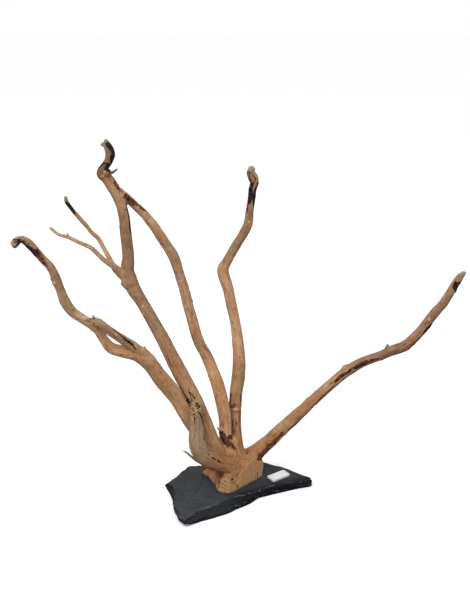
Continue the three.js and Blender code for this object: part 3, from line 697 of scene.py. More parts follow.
def cut_flat(piece: Piece, point: Sequence[float], normal: Sequence[float]) -> None:
    """Cuts away what lies past a plane and closes the cut.

    Args:
        piece: the piece.
        point: point on the plane in mm.
        normal: direction of what is cut away.
    """
    take(piece)
    bpy.ops.object.mode_set(mode="EDIT")
    bpy.ops.mesh.select_all(action="SELECT")
    bpy.ops.mesh.bisect(
        plane_co=Vector(point) * MM, plane_no=Vector(normal), use_fill=True, clear_outer=True,
    )
    bpy.ops.object.mode_set(mode="OBJECT")


def upright_to(direction: Vector) -> tuple[float, float, float]:
    """Turn that points an upright primitive along a direction."""
    return tuple(Vector((0, 0, 1)).rotation_difference(direction).to_euler())


@dataclass
class Skin:
    """Points of a mesh as arrays in mm, for shaping it in numbers."""

    piece: Piece
    points: Array = field(init=False)
    normals: Array = field(init=False)
    edges: Array = field(init=False)

    def __post_init__(self) -> None:
        """Reads the mesh."""
        mesh = self.piece.data
        flat = np.empty(len(mesh.vertices) * 3, np.float32)
        mesh.vertices.foreach_get("co", flat)
        self.points = flat.reshape(-1, 3).astype(float) / MM
        ends = np.empty(len(mesh.edges) * 2, np.int32)
        mesh.edges.foreach_get("vertices", ends)
        self.edges = ends.reshape(-1, 2)
        self.settle()

    def settle(self) -> None:
        """Writes the points to the mesh and reads the normals that follow."""
        mesh = self.piece.data
        mesh.vertices.foreach_set("co", (self.points * MM).astype(np.float32).ravel())
        mesh.update()
        flat = np.empty(len(mesh.vertices) * 3, np.float32)
        mesh.vertices.foreach_get("normal", flat)
        self.normals = flat.reshape(-1, 3).astype(float)

    def push(self, heights: Array) -> None:
        """Moves each point along its normal and settles the mesh."""
        self.points += self.normals * heights[:, None]
        self.settle()

    def averaged(self, values: Array) -> Array:
        """Mean of each point's neighbours, for values of any number of columns."""
        count = len(self.points)
        first, second = self.edges.T
        share = 1 / np.maximum(np.bincount(self.edges.ravel(), minlength=count), 1)
        columns = [
            (np.bincount(first, column[second], count) + np.bincount(second, column[first], count)) * share
            for column in np.atleast_2d(values.T)
        ]
        return np.stack(columns, 1) if values.ndim > 1 else columns[0]

    def smooth(self, weight: Array, rounds: int) -> None:
        """Relaxes the surface.

        Args:
            weight: share of the way to its neighbours' mean that each point moves.
            rounds: how many times.
        """
        for _ in range(rounds):
            self.points += weight[:, None] * (self.averaged(self.points) - self.points)
        self.settle()

    def keep(self, name: str, values: Array) -> None:
        """Stores values on the mesh as an attribute of its points.

        Args:
            name: the attribute's name.
            values: one number or one vector a point.
        """
        kind, slot = ("FLOAT", "value") if values.ndim == 1 else ("FLOAT_VECTOR", "vector")
        attribute = self.piece.data.attributes.new(name, kind, "POINT")
        attribute.data.foreach_set(slot, values.astype(np.float32).ravel())


@dataclass
class LimbPath:
    """Samples along a limb: centres, directions, radii and the two ways across."""

    limb: Limb
    centres: Array = field(init=False)
    ahead: Array = field(init=False)
    radii: Array = field(init=False)
    along: Array = field(init=False)
    front: Array = field(init=False)
    right: Array = field(init=False)
    fork_at: float = field(init=False)

    def __post_init__(self) -> None:
        """Samples a smooth curve through the stations."""
        given = np.array(self.limb.stations, float)
        padded = np.vstack([2 * given[0] - given[1], given, 2 * given[-1] - given[-2]])
        samples, forks = [], 0
        for span in range(len(given) - 1):
            before, here, there, after = padded[span:span + 4]
            steps = max(2, round(float(np.linalg.norm((there - here)[:3])) / LIMB_STEP))
            if span == self.limb.fork:
                forks = len(samples)
            for step in range(steps + (span == len(given) - 2)):
                t = step / steps
                samples.append(0.5 * (
                    2 * here + (there - before) * t
                    + (2 * before - 5 * here + 4 * there - after) * t**2
                    + (3 * here - before - 3 * there + after) * t**3
                ))
        rows = np.array(samples)
        self.centres, self.radii = rows[:, :3], np.maximum(rows[:, 3] / 2, 0.8)
        steps_taken = np.linalg.norm(np.diff(self.centres, axis=0), axis=1)
        self.along = np.concatenate([[0], np.cumsum(steps_taken)])
        ahead = np.gradient(self.centres, axis=0)
        self.ahead = ahead / np.linalg.norm(ahead, axis=1, keepdims=True)
        front = np.array([0, -1, 0]) + self.ahead[:, 1:2] * self.ahead
        self.front = front / np.linalg.norm(front, axis=1, keepdims=True)
        self.right = np.cross(self.ahead, self.front)
        self.fork_at = self.along[forks]

    def tube(self) -> Piece:
        """Round tube along the limb, its tip drawn in."""
        tip = self.centres[-1] + self.ahead[-1] * self.radii[-1] * 0.55
        centres = np.vstack([self.centres, tip]) * MM
        radii = np.append(self.radii, self.radii[-1] * 0.6)
        curve = bpy.data.curves.new(self.limb.name, "CURVE")
        curve.dimensions = "3D"
        curve.bevel_depth = MM
        curve.bevel_resolution = 5
        curve.use_fill_caps = True
        spline = curve.splines.new("POLY")
        spline.points.add(len(centres) - 1)
        spline.points.foreach_set("co", np.column_stack([centres, np.ones(len(centres))]).ravel())
        spline.points.foreach_set("radius", radii)
        tube = bpy.data.objects.new(self.limb.name, curve)
        bpy.context.scene.collection.objects.link(tube)
        take(tube)
        bpy.ops.object.convert(target="MESH")
        return bpy.context.active_object

    def place(self, points: Array) -> tuple[Array, Array, Array, Array]:
        """Place of points on the limb.

        Args:
            points: points in mm.

        Returns:
            Distance along the limb, angle round it in radians, distance from its
            surface and distance from its centre line.
        """
        nearest = np.empty(len(points), np.int64)
        lengths = (self.centres**2).sum(1)
        for start in range(0, len(points), 20000):
            part = points[start:start + 20000]
            nearest[start:start + 20000] = (lengths - 2 * part @ self.centres.T).argmin(1)
        away = points - self.centres[nearest]
        ahead = self.ahead[nearest]
        slide = np.clip((away * ahead).sum(1), -LIMB_STEP, LIMB_STEP)
        away = away - ahead * slide[:, None]
        angle = np.arctan2((away * self.right[nearest]).sum(1), (away * self.front[nearest]).sum(1))
        reach = np.linalg.norm(away, axis=1)
        return self.along[nearest] + slide, angle, reach - self.radii[nearest], reach


@dataclass
class Wood:
    """The branch: stump, limbs, twigs, spurs and knobs, shaped as one skin and then parted."""

    paths: list[LimbPath] = field(default_factory=lambda: [LimbPath(limb) for limb in LIMBS])
    fillet: float = 6.0
    noise: Field = field(default_factory=lambda: Field(SEED))

    def stump(self) -> Piece:
        """Sawn foot and crown, extruded level by level from the outline of the foot."""
        deselect()
        outline = rounded(np.array(FOOT_OUTLINE, float), 5)
        bpy.ops.mesh.primitive_circle_add(vertices=len(outline), fill_type="NGON")
        body = named("stump_body")
        bottom, share, middle_x, middle_y = STUMP_LEVELS[0]
        middle = np.array((middle_x, middle_y))
        ring = middle + (outline - middle) * share
        for vertex, (x, y) in zip(body.data.vertices, ring):
            vertex.co = Vector((x, y, bottom)) * MM
        bpy.ops.object.mode_set(mode="EDIT")
        bpy.ops.mesh.select_all(action="SELECT")
        for (below, before, *_), (above, after, x, y) in zip(STUMP_LEVELS, STUMP_LEVELS[1:]):
            bpy.ops.mesh.extrude_region_move(TRANSFORM_OT_translate={"value": (0, 0, (above - below) * MM)})
            bpy.ops.transform.resize(
                value=(after / before, after / before, 1), center_override=(x * MM, y * MM, above * MM),
            )
        bpy.ops.mesh.select_all(action="SELECT")
        bpy.ops.mesh.normals_make_consistent(inside=False)
        bpy.ops.object.mode_set(mode="OBJECT")
        buttress = LimbPath(Limb("buttress", "stump", 0, BUTTRESS)).tube()
        stump = joined("stump_body", [body, buttress, *(self.knob(knob) for knob in STUMP_KNOBS)])
        even_skin(stump, STUMP_CELL)
        for plane in (SAW_CUT, ROOT_END):
            cut_flat(stump, plane.point, plane.normal)
        return stump

    def knob(self, knob: Knob) -> Piece:
        """Swelling as a ball drawn out to its radii."""
        bpy.ops.mesh.primitive_ico_sphere_add(
            subdivisions=4, radius=1, location=Vector(knob.at) * MM, scale=Vector(knob.radii) * MM,
        )
        return bpy.context.active_object

    def spur(self, spur: Spur) -> Piece:
        """Broken twig as a cone, thickened at its foot and blunt at its tip."""
        root, tip = Vector(spur.root), Vector(spur.tip)
        bpy.ops.mesh.primitive_cone_add(
            vertices=12, radius1=spur.width * 0.55 * MM, radius2=spur.blunt / 2 * MM, depth=(tip - root).length * MM,
            location=(root + tip) / 2 * MM, rotation=upright_to(tip - root),
        )
        return bpy.context.active_object

    def raw(self) -> Piece:
        """All of the wood fused into one even skin."""
        parts = [self.stump()]
        deselect()
        parts += [path.tube() for path in self.paths]
        parts += [self.spur(spur) for spur in SPURS]
        parts += [self.knob(knob) for knob in KNOBS]
        wood = joined("wood", parts)
        even_skin(wood, WOOD_CELL)
        cut_flat(wood, (0, 0, WOOD_FOOT), (0, 0, -1))
        return wood

    def shape(self, wood: Piece) -> tuple[Skin, Array]:
        """Gives the wood its webs, flutes, bark, cracks and torn ends.

        Args:
            wood: the wood as one skin.

        Returns:
            The skin and the number of the node that each point belongs to.
        """
        skin = Skin(wood)
        places = [path.place(skin.points) for path in self.paths]
        along, angle, clear, reach = (np.stack(rows) for rows in zip(*places))
        order = np.sort(clear, axis=0)
        owner, beside = np.argsort(clear, axis=0)[:2]
        picked = np.arange(len(owner))
        close = 1 - smooth_step(0.0, self.fillet, order[1] - order[0])
        close *= self.tightness()[owner, beside]
        from_cut = np.minimum(*(
            np.abs((skin.points - plane.point) @ plane.normal) for plane in (SAW_CUT, ROOT_END)
        ))
        low = skin.points[:, 2] < 95
        from_cut = np.where(low, np.minimum(from_cut, skin.points[:, 2] - WOOD_FOOT), 99)
        sawn = self.sawn_share(skin.points)
        soft = np.maximum(close, 1 - smooth_step(60, 85, skin.points[:, 2]))
        soft *= smooth_step(0.5, 4.0, from_cut)
        web = (close * self.fillet) ** 2 / (4 * self.fillet) * (order[1] > 0.4) * smooth_step(0, 3, from_cut)
        skin.push(web * 0.8)
        skin.smooth(soft * 0.6, 14)
        skin.smooth(np.full(len(owner), 0.3), 2)

        own_along, own_angle = along[owner, picked], angle[owner, picked]
        own_reach = reach[owner, picked]
        calm = (1 - close) * (1 - smooth_step(1.5, 5, order[0]))
        offsets = owner * 57.0
        grain = np.stack([
            np.cos(own_angle) * own_reach + offsets, np.sin(own_angle) * own_reach + offsets, own_along,
        ], 1)
        firm = 1 - sawn
        skin.push(self.growth(skin.points, own_along, own_angle, own_reach, grain, calm) * firm)

        tints = {name: np.zeros(len(owner)) for name in ("bark", "char", "stain", "pale", "crumb", "shade", "ash")}
        height = np.zeros(len(owner))
        for mark in self.marks():
            height += self.marked(mark, skin, along, angle, reach, clear, grain, tints)
        for spot in SPOTS:
            height += self.spotted(spot, skin, tints)
        for lump in LUMPS:
            away = ((skin.points - np.array(lump.at)) ** 2).sum(1)
            height += lump.height * np.exp(-away / lump.radius**2)
        skin.push(height)
        skin.points[:, 2] = np.maximum(skin.points[:, 2], WOOD_FOOT)
        undercut = 1.2 * (1 - smooth_step(11.2, 13.4, skin.points[:, 2]))
        skin.points[:, :2] -= skin.normals[:, :2] * undercut[:, None]
        skin.settle()
        tints["sawn"] = sawn
        tints["calm"] = calm
        tints["tone"] = self.toned(skin, owner)
        tints["ash"] = np.maximum(tints["ash"], self.ends(skin, owner, along))
        tints["weather"] = self.weathering(skin, owner, along)
        for name, values in tints.items():
            skin.keep(name, values)
        skin.keep("grain", grain * MM)
        return skin, self.owners(skin, owner, along)

    def toned(self, skin: Skin, owner: Array) -> Array:
        """Brightness of the wood at each point, which changes slowly along each limb."""
        tone = np.ones(len(owner))
        for row, path in enumerate(self.paths):
            own = owner == row
            if path.limb.name in TONES:
                heights, shades = zip(*TONES[path.limb.name])
                tone[own] = np.interp(skin.points[own, 2], heights, shades)
        for _ in range(20):
            tone = 0.5 * tone + 0.5 * skin.averaged(tone)
        return tone**2.2

    def ends(self, skin: Skin, owner: Array, along: Array) -> Array:
        """Share of grey on the broken end of each limb."""
        share = np.zeros(len(owner))
        for row, path in enumerate(self.paths):
            if path.limb.name in GROWN_IN:
                continue
            start = path.along[-1] - 15
            reach = along[row] + 4 * self.noise.at(skin.points / 4)
            share = np.maximum(share, (owner == row) * smooth_step(start, start + 8, reach))
        return 0.8 * share

    def tightness(self) -> Array:
        """Share of the full web between each two limbs."""
        names = [path.limb.name for path in self.paths]
        share = np.ones((len(names), len(names)))
        for one, other, value in CREASES:
            share[names.index(one), names.index(other)] = value
            share[names.index(other), names.index(one)] = value
        return share

    def sawn_share(self, points: Array) -> Array:
        """Share of 1 on the two sawn faces of the stump."""
        share = np.zeros(len(points))
        for plane, limit in ((SAW_CUT, 62.0), (ROOT_END, 46.0)):
            away = np.abs((points - plane.point) @ plane.normal) + 0.3 * self.noise.at(points / 3.5)
            share = np.maximum(share, (1 - smooth_step(0.3, 1.3, away)) * (points[:, 2] < limit))
        return share

    def growth(self, points: Array, along: Array, angle: Array, reach: Array, grain: Array, calm: Array) -> Array:
        """Height of the wood's own ridges, flutes and swellings.

        Args:
            points: the surface points.
            along: distance along the limb.
            angle: angle round the limb.
            reach: distance from the limb's centre line.
            grain: place on the limb, laid out along its grain.
            calm: share of 1 away from the forks.

        Returns:
            Height above the smooth skin at each point.
        """
        flutes = reach * (
            0.034 * np.cos(2 * angle + along / 37)
            + 0.022 * np.cos(3 * angle - along / 23)
            + 0.01 * np.cos(5 * angle + along / 31)
        )
        ridges = 0.28 * self.noise.layered(grain / (3.2, 3.2, 34), 2)
        fibres = 0.1 * self.noise.at(grain / (1.3, 1.3, 12))
        swell = 0.5 * self.noise.at(grain / (14, 14, 19)) + 0.32 * self.noise.at(points / 9)
        rough = 0.12 * self.noise.layered(points / 2.4, 2)
        broad = 0.8 * self.noise.at(points / 21) * (1 - calm)
        thick = smooth_step(1.5, 6.5, reach)
        return (calm * (flutes + ridges + fibres) + swell * 0.8 + broad) * (0.25 + 0.75 * thick) + rough

    def marks(self) -> list[Mark]:
        """The marks seen on the wood, and small ones scattered along every limb but the thinnest."""
        chance = np.random.default_rng(SEED)
        found = list(MARKS)
        for path in self.paths:
            if path.radii.mean() < 4:
                continue
            at = path.fork_at
            while at < path.along[-1] - 14:
                side = chance.uniform(-180, 180)
                kind = (Kind.PIT, Kind.CRACK, Kind.KNOT, Kind.STAIN)[chance.choice(4, p=(0.34, 0.3, 0.14, 0.22))]
                size = chance.uniform(0.8, 1.25)
                length = {Kind.PIT: 0.3, Kind.CRACK: 7, Kind.KNOT: 1.5, Kind.STAIN: 6}[kind] * size
                width = {Kind.PIT: 1.9, Kind.CRACK: 1.1, Kind.KNOT: 5.0, Kind.STAIN: 2.4}[kind] * size
                depth = {Kind.PIT: 0.8, Kind.CRACK: 0.45, Kind.KNOT: 0.8, Kind.STAIN: 0.0}[kind] * size
                found.append(Mark(kind, path.limb.name, at, at + length, (side,), (width,), depth))
                at += chance.uniform(3, 11)
        return found

    def marked(
        self, mark: Mark, skin: Skin, along: Array, angle: Array, reach: Array, clear: Array, grain: Array,
        tints: dict[str, Array],
    ) -> Array:
        """Height of one mark, whose tint it fills in.

        Args:
            mark: the mark.
            skin: the surface.
            along: distance along each limb.
            angle: angle round each limb.
            reach: distance from each limb's centre line.
            clear: distance from each limb's surface.
            grain: place on the limb, laid out along its grain.
            tints: the surface attributes.

        Returns:
            Height at each point.
        """
        row = next(index for index, path in enumerate(self.paths) if path.limb.name == mark.limb)
        middle, half = (mark.start + mark.end) / 2, max((mark.end - mark.start) / 2, max(mark.widths) / 2)
        near = np.flatnonzero((np.abs(along[row] - middle) < half * 1.5 + 3) & (clear[row] < 6))
        down = along[row, near] - middle
        share = np.clip((down + half) / (2 * half), 0, 1)
        side = np.interp(share, np.linspace(0, 1, len(mark.sides)), mark.sides)
        width = np.interp(share, np.linspace(0, 1, len(mark.widths)), mark.widths)
        turn = (angle[row, near] - np.radians(side) + math.pi) % (2 * math.pi) - math.pi
        across = turn * reach[row, near]
        own = grain[near]
        if mark.kind is Kind.CRACK:
            across = across + 1.1 * self.noise.at(np.column_stack([down / 6, down * 0, down * 0 + mark.sides[0]]))
            beyond = np.maximum(np.abs(down) - half + width / 2, 0)
            inside = 1 - np.hypot(across, beyond) / (width / 2)
        else:
            power = 2 if mark.kind in (Kind.PIT, Kind.KNOT) else 3.5
            inside = 1 - (np.abs(across / (width / 2)) ** power + np.abs(down / half) ** power) ** (1 / power)
        return self.filled(mark.kind, mark.depth, near, inside, own, skin, tints)

    def spotted(self, spot: Spot, skin: Skin, tints: dict[str, Array]) -> Array:
        """Height of one spot, whose tint it fills in.

        Args:
            spot: the spot.
            skin: the surface.
            tints: the surface attributes.

        Returns:
            Height at each point.
        """
        start = np.array(spot.start, float)
        line = np.array(spot.end, float) - start
        flat = line - (line @ SIGHT) * SIGHT
        away = skin.points - start
        deep = away @ SIGHT
        share = np.clip((away @ flat) / max(float(flat @ flat), 1e-6), 0, 1)
        aside = np.linalg.norm(away - deep[:, None] * SIGHT - share[:, None] * flat, axis=1)
        deep -= share * (line @ SIGHT)
        near = np.flatnonzero((aside < spot.width + 2) & (np.abs(deep) < 12) & (skin.normals @ SIGHT < -0.05))
        inside = 1 - aside[near] / (spot.width / 2)
        return self.filled(spot.kind, spot.depth, near, inside, skin.points[near], skin, tints)

    def filled(
        self, kind: Kind, depth: float, near: Array, inside: Array, grain: Array, skin: Skin,
        tints: dict[str, Array],
    ) -> Array:
        """Height and tint of a mark from how far inside it each point lies.

        Args:
            kind: what the mark is.
            depth: how far it is raised or sunk.
            near: numbers of the points about it.
            inside: 1 at its middle, 0 at its edge.
            grain: place along the grain of those points.
            skin: the surface.
            tints: the surface attributes.

        Returns:
            Height at each point.
        """
        effect = EFFECTS[kind]
        ragged = inside + effect.jag * (
            0.5 * self.noise.at(grain / (2.6, 2.6, 7)) + 0.3 * self.noise.at(skin.points[near] / 1.5)
        )
        edge = {Kind.PIT: 0.55, Kind.CRACK: 0.55, Kind.KNOT: 0.55, Kind.PAINTED_SHADE: 0.9}.get(kind, 0.22)
        share = smooth_step(0, edge, ragged)
        rough = effect.rough * self.noise.at(skin.points[near] / 1.9 + 7)
        if kind is Kind.CRUMB:
            rough -= 2.2 * smooth_step(0.42, 0.2, self.noise.hollow(skin.points[near] / 5.0))
        heights = np.zeros(len(skin.points))
        heights[near] = share * (effect.rise * depth + rough)
        tints[effect.tint][near] = np.maximum(tints[effect.tint][near], share)
        return heights

    def weathering(self, skin: Skin, owner: Array, along: Array) -> Array:
        """Share of grey weathering, which covers the front stub and fades out at its foot."""
        row = next(index for index, path in enumerate(self.paths) if path.limb.name == "front_stub")
        share = (owner == row) * smooth_step(42, 90, along[row])
        for _ in range(5):
            share = 0.5 * share + 0.5 * skin.averaged(share)
        return share

    def owners(self, skin: Skin, owner: Array, along: Array) -> Array:
        """Number of the node that each point belongs to: a limb's row, or one more for the stump.

        Args:
            skin: the surface.
            owner: nearest limb's row.
            along: distance along each limb.

        Returns:
            The numbers, with no specks.
        """
        names = [path.limb.name for path in self.paths]
        parents = [len(names) if path.limb.parent == "stump" else names.index(path.limb.parent)
                   for path in self.paths]
        forks = np.array([path.fork_at for path in self.paths])
        past = along[owner, np.arange(len(owner))] >= forks[owner]
        numbers = np.where(past, owner, np.array(parents)[owner])
        votes = np.eye(len(names) + 1)[numbers]
        for _ in range(6):
            votes = 0.5 * votes + 0.5 * skin.averaged(votes)
        return votes.argmax(1)

    def parted(self, wood: Piece, skin: Skin, numbers: Array) -> dict[str, Piece]:
        """Parts the wood at its forks into the CAD nodes' pieces.

        Args:
            wood: the wood as one skin.
            skin: its surface.
            numbers: number of the node that each point belongs to.

        Returns:
            Closed pieces by node name, which meet without a seam.
        """
        mesh = wood.data
        skin.keep("outward", skin.normals)
        corner_points = np.empty(len(mesh.loops), np.int32)
        mesh.loops.foreach_get("vertex_index", corner_points)
        starts = np.empty(len(mesh.polygons), np.int32)
        mesh.polygons.foreach_get("loop_start", starts)
        face_numbers = numbers[corner_points[starts]].astype(np.int32)
        names = [path.limb.name for path in self.paths] + ["stump"]
        for name in names:
            mesh.materials.append(bpy.data.materials.new(name))
        mesh.polygons.foreach_set("material_index", face_numbers)
        take(wood)
        bpy.ops.object.mode_set(mode="EDIT")
        bpy.ops.mesh.select_all(action="SELECT")
        bpy.ops.mesh.separate(type="MATERIAL")
        bpy.ops.object.mode_set(mode="OBJECT")
        pieces = {}
        for piece in list(bpy.context.selected_objects):
            first = piece.data.polygons[0].material_index
            name = piece.data.materials[first].name
            pieces[name] = self.closed(piece, name)
        return pieces

    def closed(self, piece: Piece, name: str) -> Piece:
        """Closes a parted piece inside the wood and keeps the whole wood's normals on it.

        Args:
            piece: the open piece.
            name: its node's name.

        Returns:
            The closed piece.
        """
        take(piece)
        bpy.ops.object.mode_set(mode="EDIT")
        bpy.ops.mesh.select_all(action="SELECT")
        bpy.ops.mesh.fill_holes(sides=0)
        bpy.ops.object.mode_set(mode="OBJECT")
        mesh = piece.data
        mesh.polygons.foreach_set("material_index", np.zeros(len(mesh.polygons), np.int32))
        mesh.materials.clear()
        outward = np.empty(len(mesh.vertices) * 3, np.float32)
        mesh.attributes["outward"].data.foreach_get("vector", outward)
        mesh.attributes.remove(mesh.attributes["outward"])
        bpy.ops.object.shade_smooth()
        mesh.normals_split_custom_set_from_vertices(outward.reshape(-1, 3))
        return named(name + "_wood")

    def build(self) -> dict[str, Piece]:
        """Builds the wood.

        Returns:
            Its pieces by node name.
        """
        wood = self.raw()
        LOG.info("wood skin: %d points", len(wood.data.vertices))
        skin, numbers = self.shape(wood)
        return self.parted(wood, skin, numbers)


class Net:
    """Nodes and links of one material or node group, a line each."""

    def __init__(self, tree: bpy.types.NodeTree) -> None:
        """Starts from a node tree.

        Args:
            tree: the tree that nodes are added to.
        """
        self.tree = tree

    def node(self, kind: str, **settings: object) -> bpy.types.Node:
        """Adds a node and sets its options by name."""
        made = self.tree.nodes.new(kind)
        for name, value in settings.items():
            setattr(made, name, value)
        return made

    def feed(self, socket: bpy.types.NodeSocket, value: object) -> None:
        """Links a socket to another, or sets its value."""
        if isinstance(value, bpy.types.NodeSocket):
            self.tree.links.new(value, socket)
        else:
            socket.default_value = value

    def math(self, operation: str, first: object, second: object = 0.0) -> bpy.types.NodeSocket:
        """Result of a sum on two values."""
        made = self.node("ShaderNodeMath", operation=operation)
        self.feed(made.inputs[0], first)
        self.feed(made.inputs[1], second)
        return made.outputs[0]

    def fade(self, value: object, low: float, high: float, start: float = 0.0, end: float = 1.0) -> bpy.types.NodeSocket:
        """Smooth change from start to end as a value goes from low to high."""
        made = self.node("ShaderNodeMapRange", interpolation_type="SMOOTHSTEP")
        for index, number in enumerate((value, low, high, start, end)):
            self.feed(made.inputs[index], number)
        return made.outputs[0]

    def noise(self, vector: object, scale: float, detail: float = 2.0, rough: float = 0.5) -> bpy.types.NodeSocket:
        """Cloudy pattern, with about scale clouds to the metre."""
        made = self.node("ShaderNodeTexNoise", noise_dimensions="3D")
        for name, value in (("Vector", vector), ("Scale", scale), ("Detail", detail), ("Roughness", rough)):
            self.feed(made.inputs[name], value)
        return made.outputs["Fac"]

    def cells(self, vector: object, scale: float) -> tuple[bpy.types.NodeSocket, bpy.types.NodeSocket]:
        """Distance to the nearest of scattered points, and a colour for each of them."""
        made = self.node("ShaderNodeTexVoronoi")
        self.feed(made.inputs["Vector"], vector)
        self.feed(made.inputs["Scale"], scale)
        return made.outputs["Distance"], made.outputs["Color"]

    def stretched(self, vector: object, scale: Point, turn: Point = (0, 0, 0)) -> bpy.types.NodeSocket:
        """Vector stretched and turned by a Mapping node."""
        made = self.node("ShaderNodeMapping")
        self.feed(made.inputs["Vector"], vector)
        made.inputs["Rotation"].default_value = [math.radians(angle) for angle in turn]
        made.inputs["Scale"].default_value = scale
        return made.outputs["Vector"]

    def blend(self, share: object, first: object, second: object, mode: str = "MIX") -> bpy.types.NodeSocket:
        """Colour between two colours."""
        made = self.node("ShaderNodeMix", data_type="RGBA", blend_type=mode)
        self.feed(made.inputs[0], share)
        self.feed(made.inputs[6], first)
        self.feed(made.inputs[7], second)
        return made.outputs[2]

    def attribute(self, name: str, output: str = "Fac") -> bpy.types.NodeSocket:
        """Attribute of the piece."""
        return self.node("ShaderNodeAttribute", attribute_name=name).outputs[output]

    def place(self) -> bpy.types.NodeSocket:
        """Object coordinates."""
        return self.node("ShaderNodeTexCoord").outputs["Object"]

    def group(self, tree: bpy.types.NodeTree, **inputs: object) -> bpy.types.Node:
        """Adds a shared group and feeds its inputs by name, with _ for a space."""
        made = self.node("ShaderNodeGroup", node_tree=tree)
        for name, value in inputs.items():
            self.feed(made.inputs[name.replace("_", " ").capitalize()], value)
        return made


def new_group(name: str, inputs: dict[str, str], outputs: dict[str, str]) -> tuple[Net, bpy.types.Node, bpy.types.Node]:
    """Starts a node group.

    Args:
        name: the group's name.
        inputs: socket type by name.
        outputs: socket type by name.

    Returns:
        The group's net, and its input and output nodes.
    """
    tree = bpy.data.node_groups.new(name, "ShaderNodeTree")
    for label, kind in inputs.items():
        tree.interface.new_socket(label, in_out="INPUT", socket_type="NodeSocket" + kind)
    for label, kind in outputs.items():
        tree.interface.new_socket(label, in_out="OUTPUT", socket_type="NodeSocket" + kind)
    net = Net(tree)
    return net, net.node("NodeGroupInput"), net.node("NodeGroupOutput")


@dataclass
class Effects:
    """Effects that more than one finish uses."""

    grain: bpy.types.NodeTree = field(init=False)
    ragged: bpy.types.NodeTree = field(init=False)

    def __post_init__(self) -> None:
        """Builds the groups."""
        self.grain = self.build_grain()
        self.ragged = self.build_ragged()

    def build_grain(self) -> bpy.types.NodeTree:
        """Wood grain: streaks and fibres along the limb, flecks, and their height."""
        net, source, result = new_group(
            "wood_grain", {"Grain": "Vector", "Place": "Vector", "Calm": "Float"},
            {"Streak": "Float", "Fibre": "Float", "Fleck": "Float", "Height": "Float"},
        )
        grain, place, calm = source.outputs[0], source.outputs[1], source.outputs[2]
        along = net.stretched(grain, (1, 1, 0.09))
        wide = net.noise(along, 210, 2.0)
        fine = net.noise(along, 900, 3.0, 0.6)
        cloudy = net.noise(place, 160, 3.0)
        streak = net.math("ADD", net.math("MULTIPLY", net.math("SUBTRACT", wide, cloudy), calm), cloudy)
        cloud_fine = net.noise(place, 700, 3.0, 0.6)
        fibre = net.math("ADD", net.math("MULTIPLY", net.math("SUBTRACT", fine, cloud_fine), calm), cloud_fine)
        near, colour = net.cells(net.stretched(grain, (1, 1, 0.45)), 330)
        shade = net.node("ShaderNodeSeparateColor")
        net.feed(shade.inputs[0], colour)
        rare = net.fade(shade.outputs[0], 0.75, 0.81)
        fleck = net.math("MULTIPLY", net.fade(near, 0.34, 0.16), rare)
        height = net.math("SUBTRACT", net.math("ADD", net.math("MULTIPLY", fibre, 0.6), streak), fleck)
        for index, value in enumerate((streak, fibre, fleck, height)):
            net.feed(result.inputs[index], value)
        return net.tree

    def build_ragged(self) -> bpy.types.NodeTree:
        """A mask whose edge is broken up by small clouds."""
        net, source, result = new_group(
            "ragged_edge", {"Mask": "Float", "Place": "Vector", "Size": "Float", "Amount": "Float"},
            {"Mask": "Float"},
        )
        mask, place, size, amount = source.outputs[0], source.outputs[1], source.outputs[2], source.outputs[3]
        cloud = net.math("SUBTRACT", net.noise(place, size, 3.0, 0.6), 0.5)
        moved = net.math("ADD", mask, net.math("MULTIPLY", cloud, amount))
        net.feed(result.inputs[0], net.fade(moved, 0.35, 0.6))
        return net.tree


def new_material(name: str, roughness: float) -> tuple[bpy.types.Material, Net, bpy.types.Node]:
    """Starts a material.

    Args:
        name: the material's name.
        roughness: roughness on the shader's own socket.

    Returns:
        The material, its net and its shader.
    """
    material = bpy.data.materials.new(name)
    material.use_nodes = True
    net = Net(material.node_tree)
    shader = material.node_tree.nodes["Principled BSDF"]
    shader.inputs["Roughness"].default_value = roughness
    return material, net, shader


def bump(net: Net, shader: bpy.types.Node, height: bpy.types.NodeSocket, strength: float, distance: float) -> None:
    """Feeds the shader's normal from a height.

    Args:
        net: the material's net.
        shader: its shader.
        height: the height, 0 to 1.
        strength: strength of the relief.
        distance: height of the relief in mm.
    """
    made = net.node("ShaderNodeBump")
    made.inputs["Strength"].default_value = strength
    made.inputs["Distance"].default_value = distance * MM
    net.feed(made.inputs["Height"], height)
    net.feed(shader.inputs["Normal"], made.outputs["Normal"])


@dataclass(frozen=True)
class Palette:
    """Colours of the wood: its ridges, its warmer clouds and its streaks."""

    light: Colour
    warm: Colour
    deep: Colour


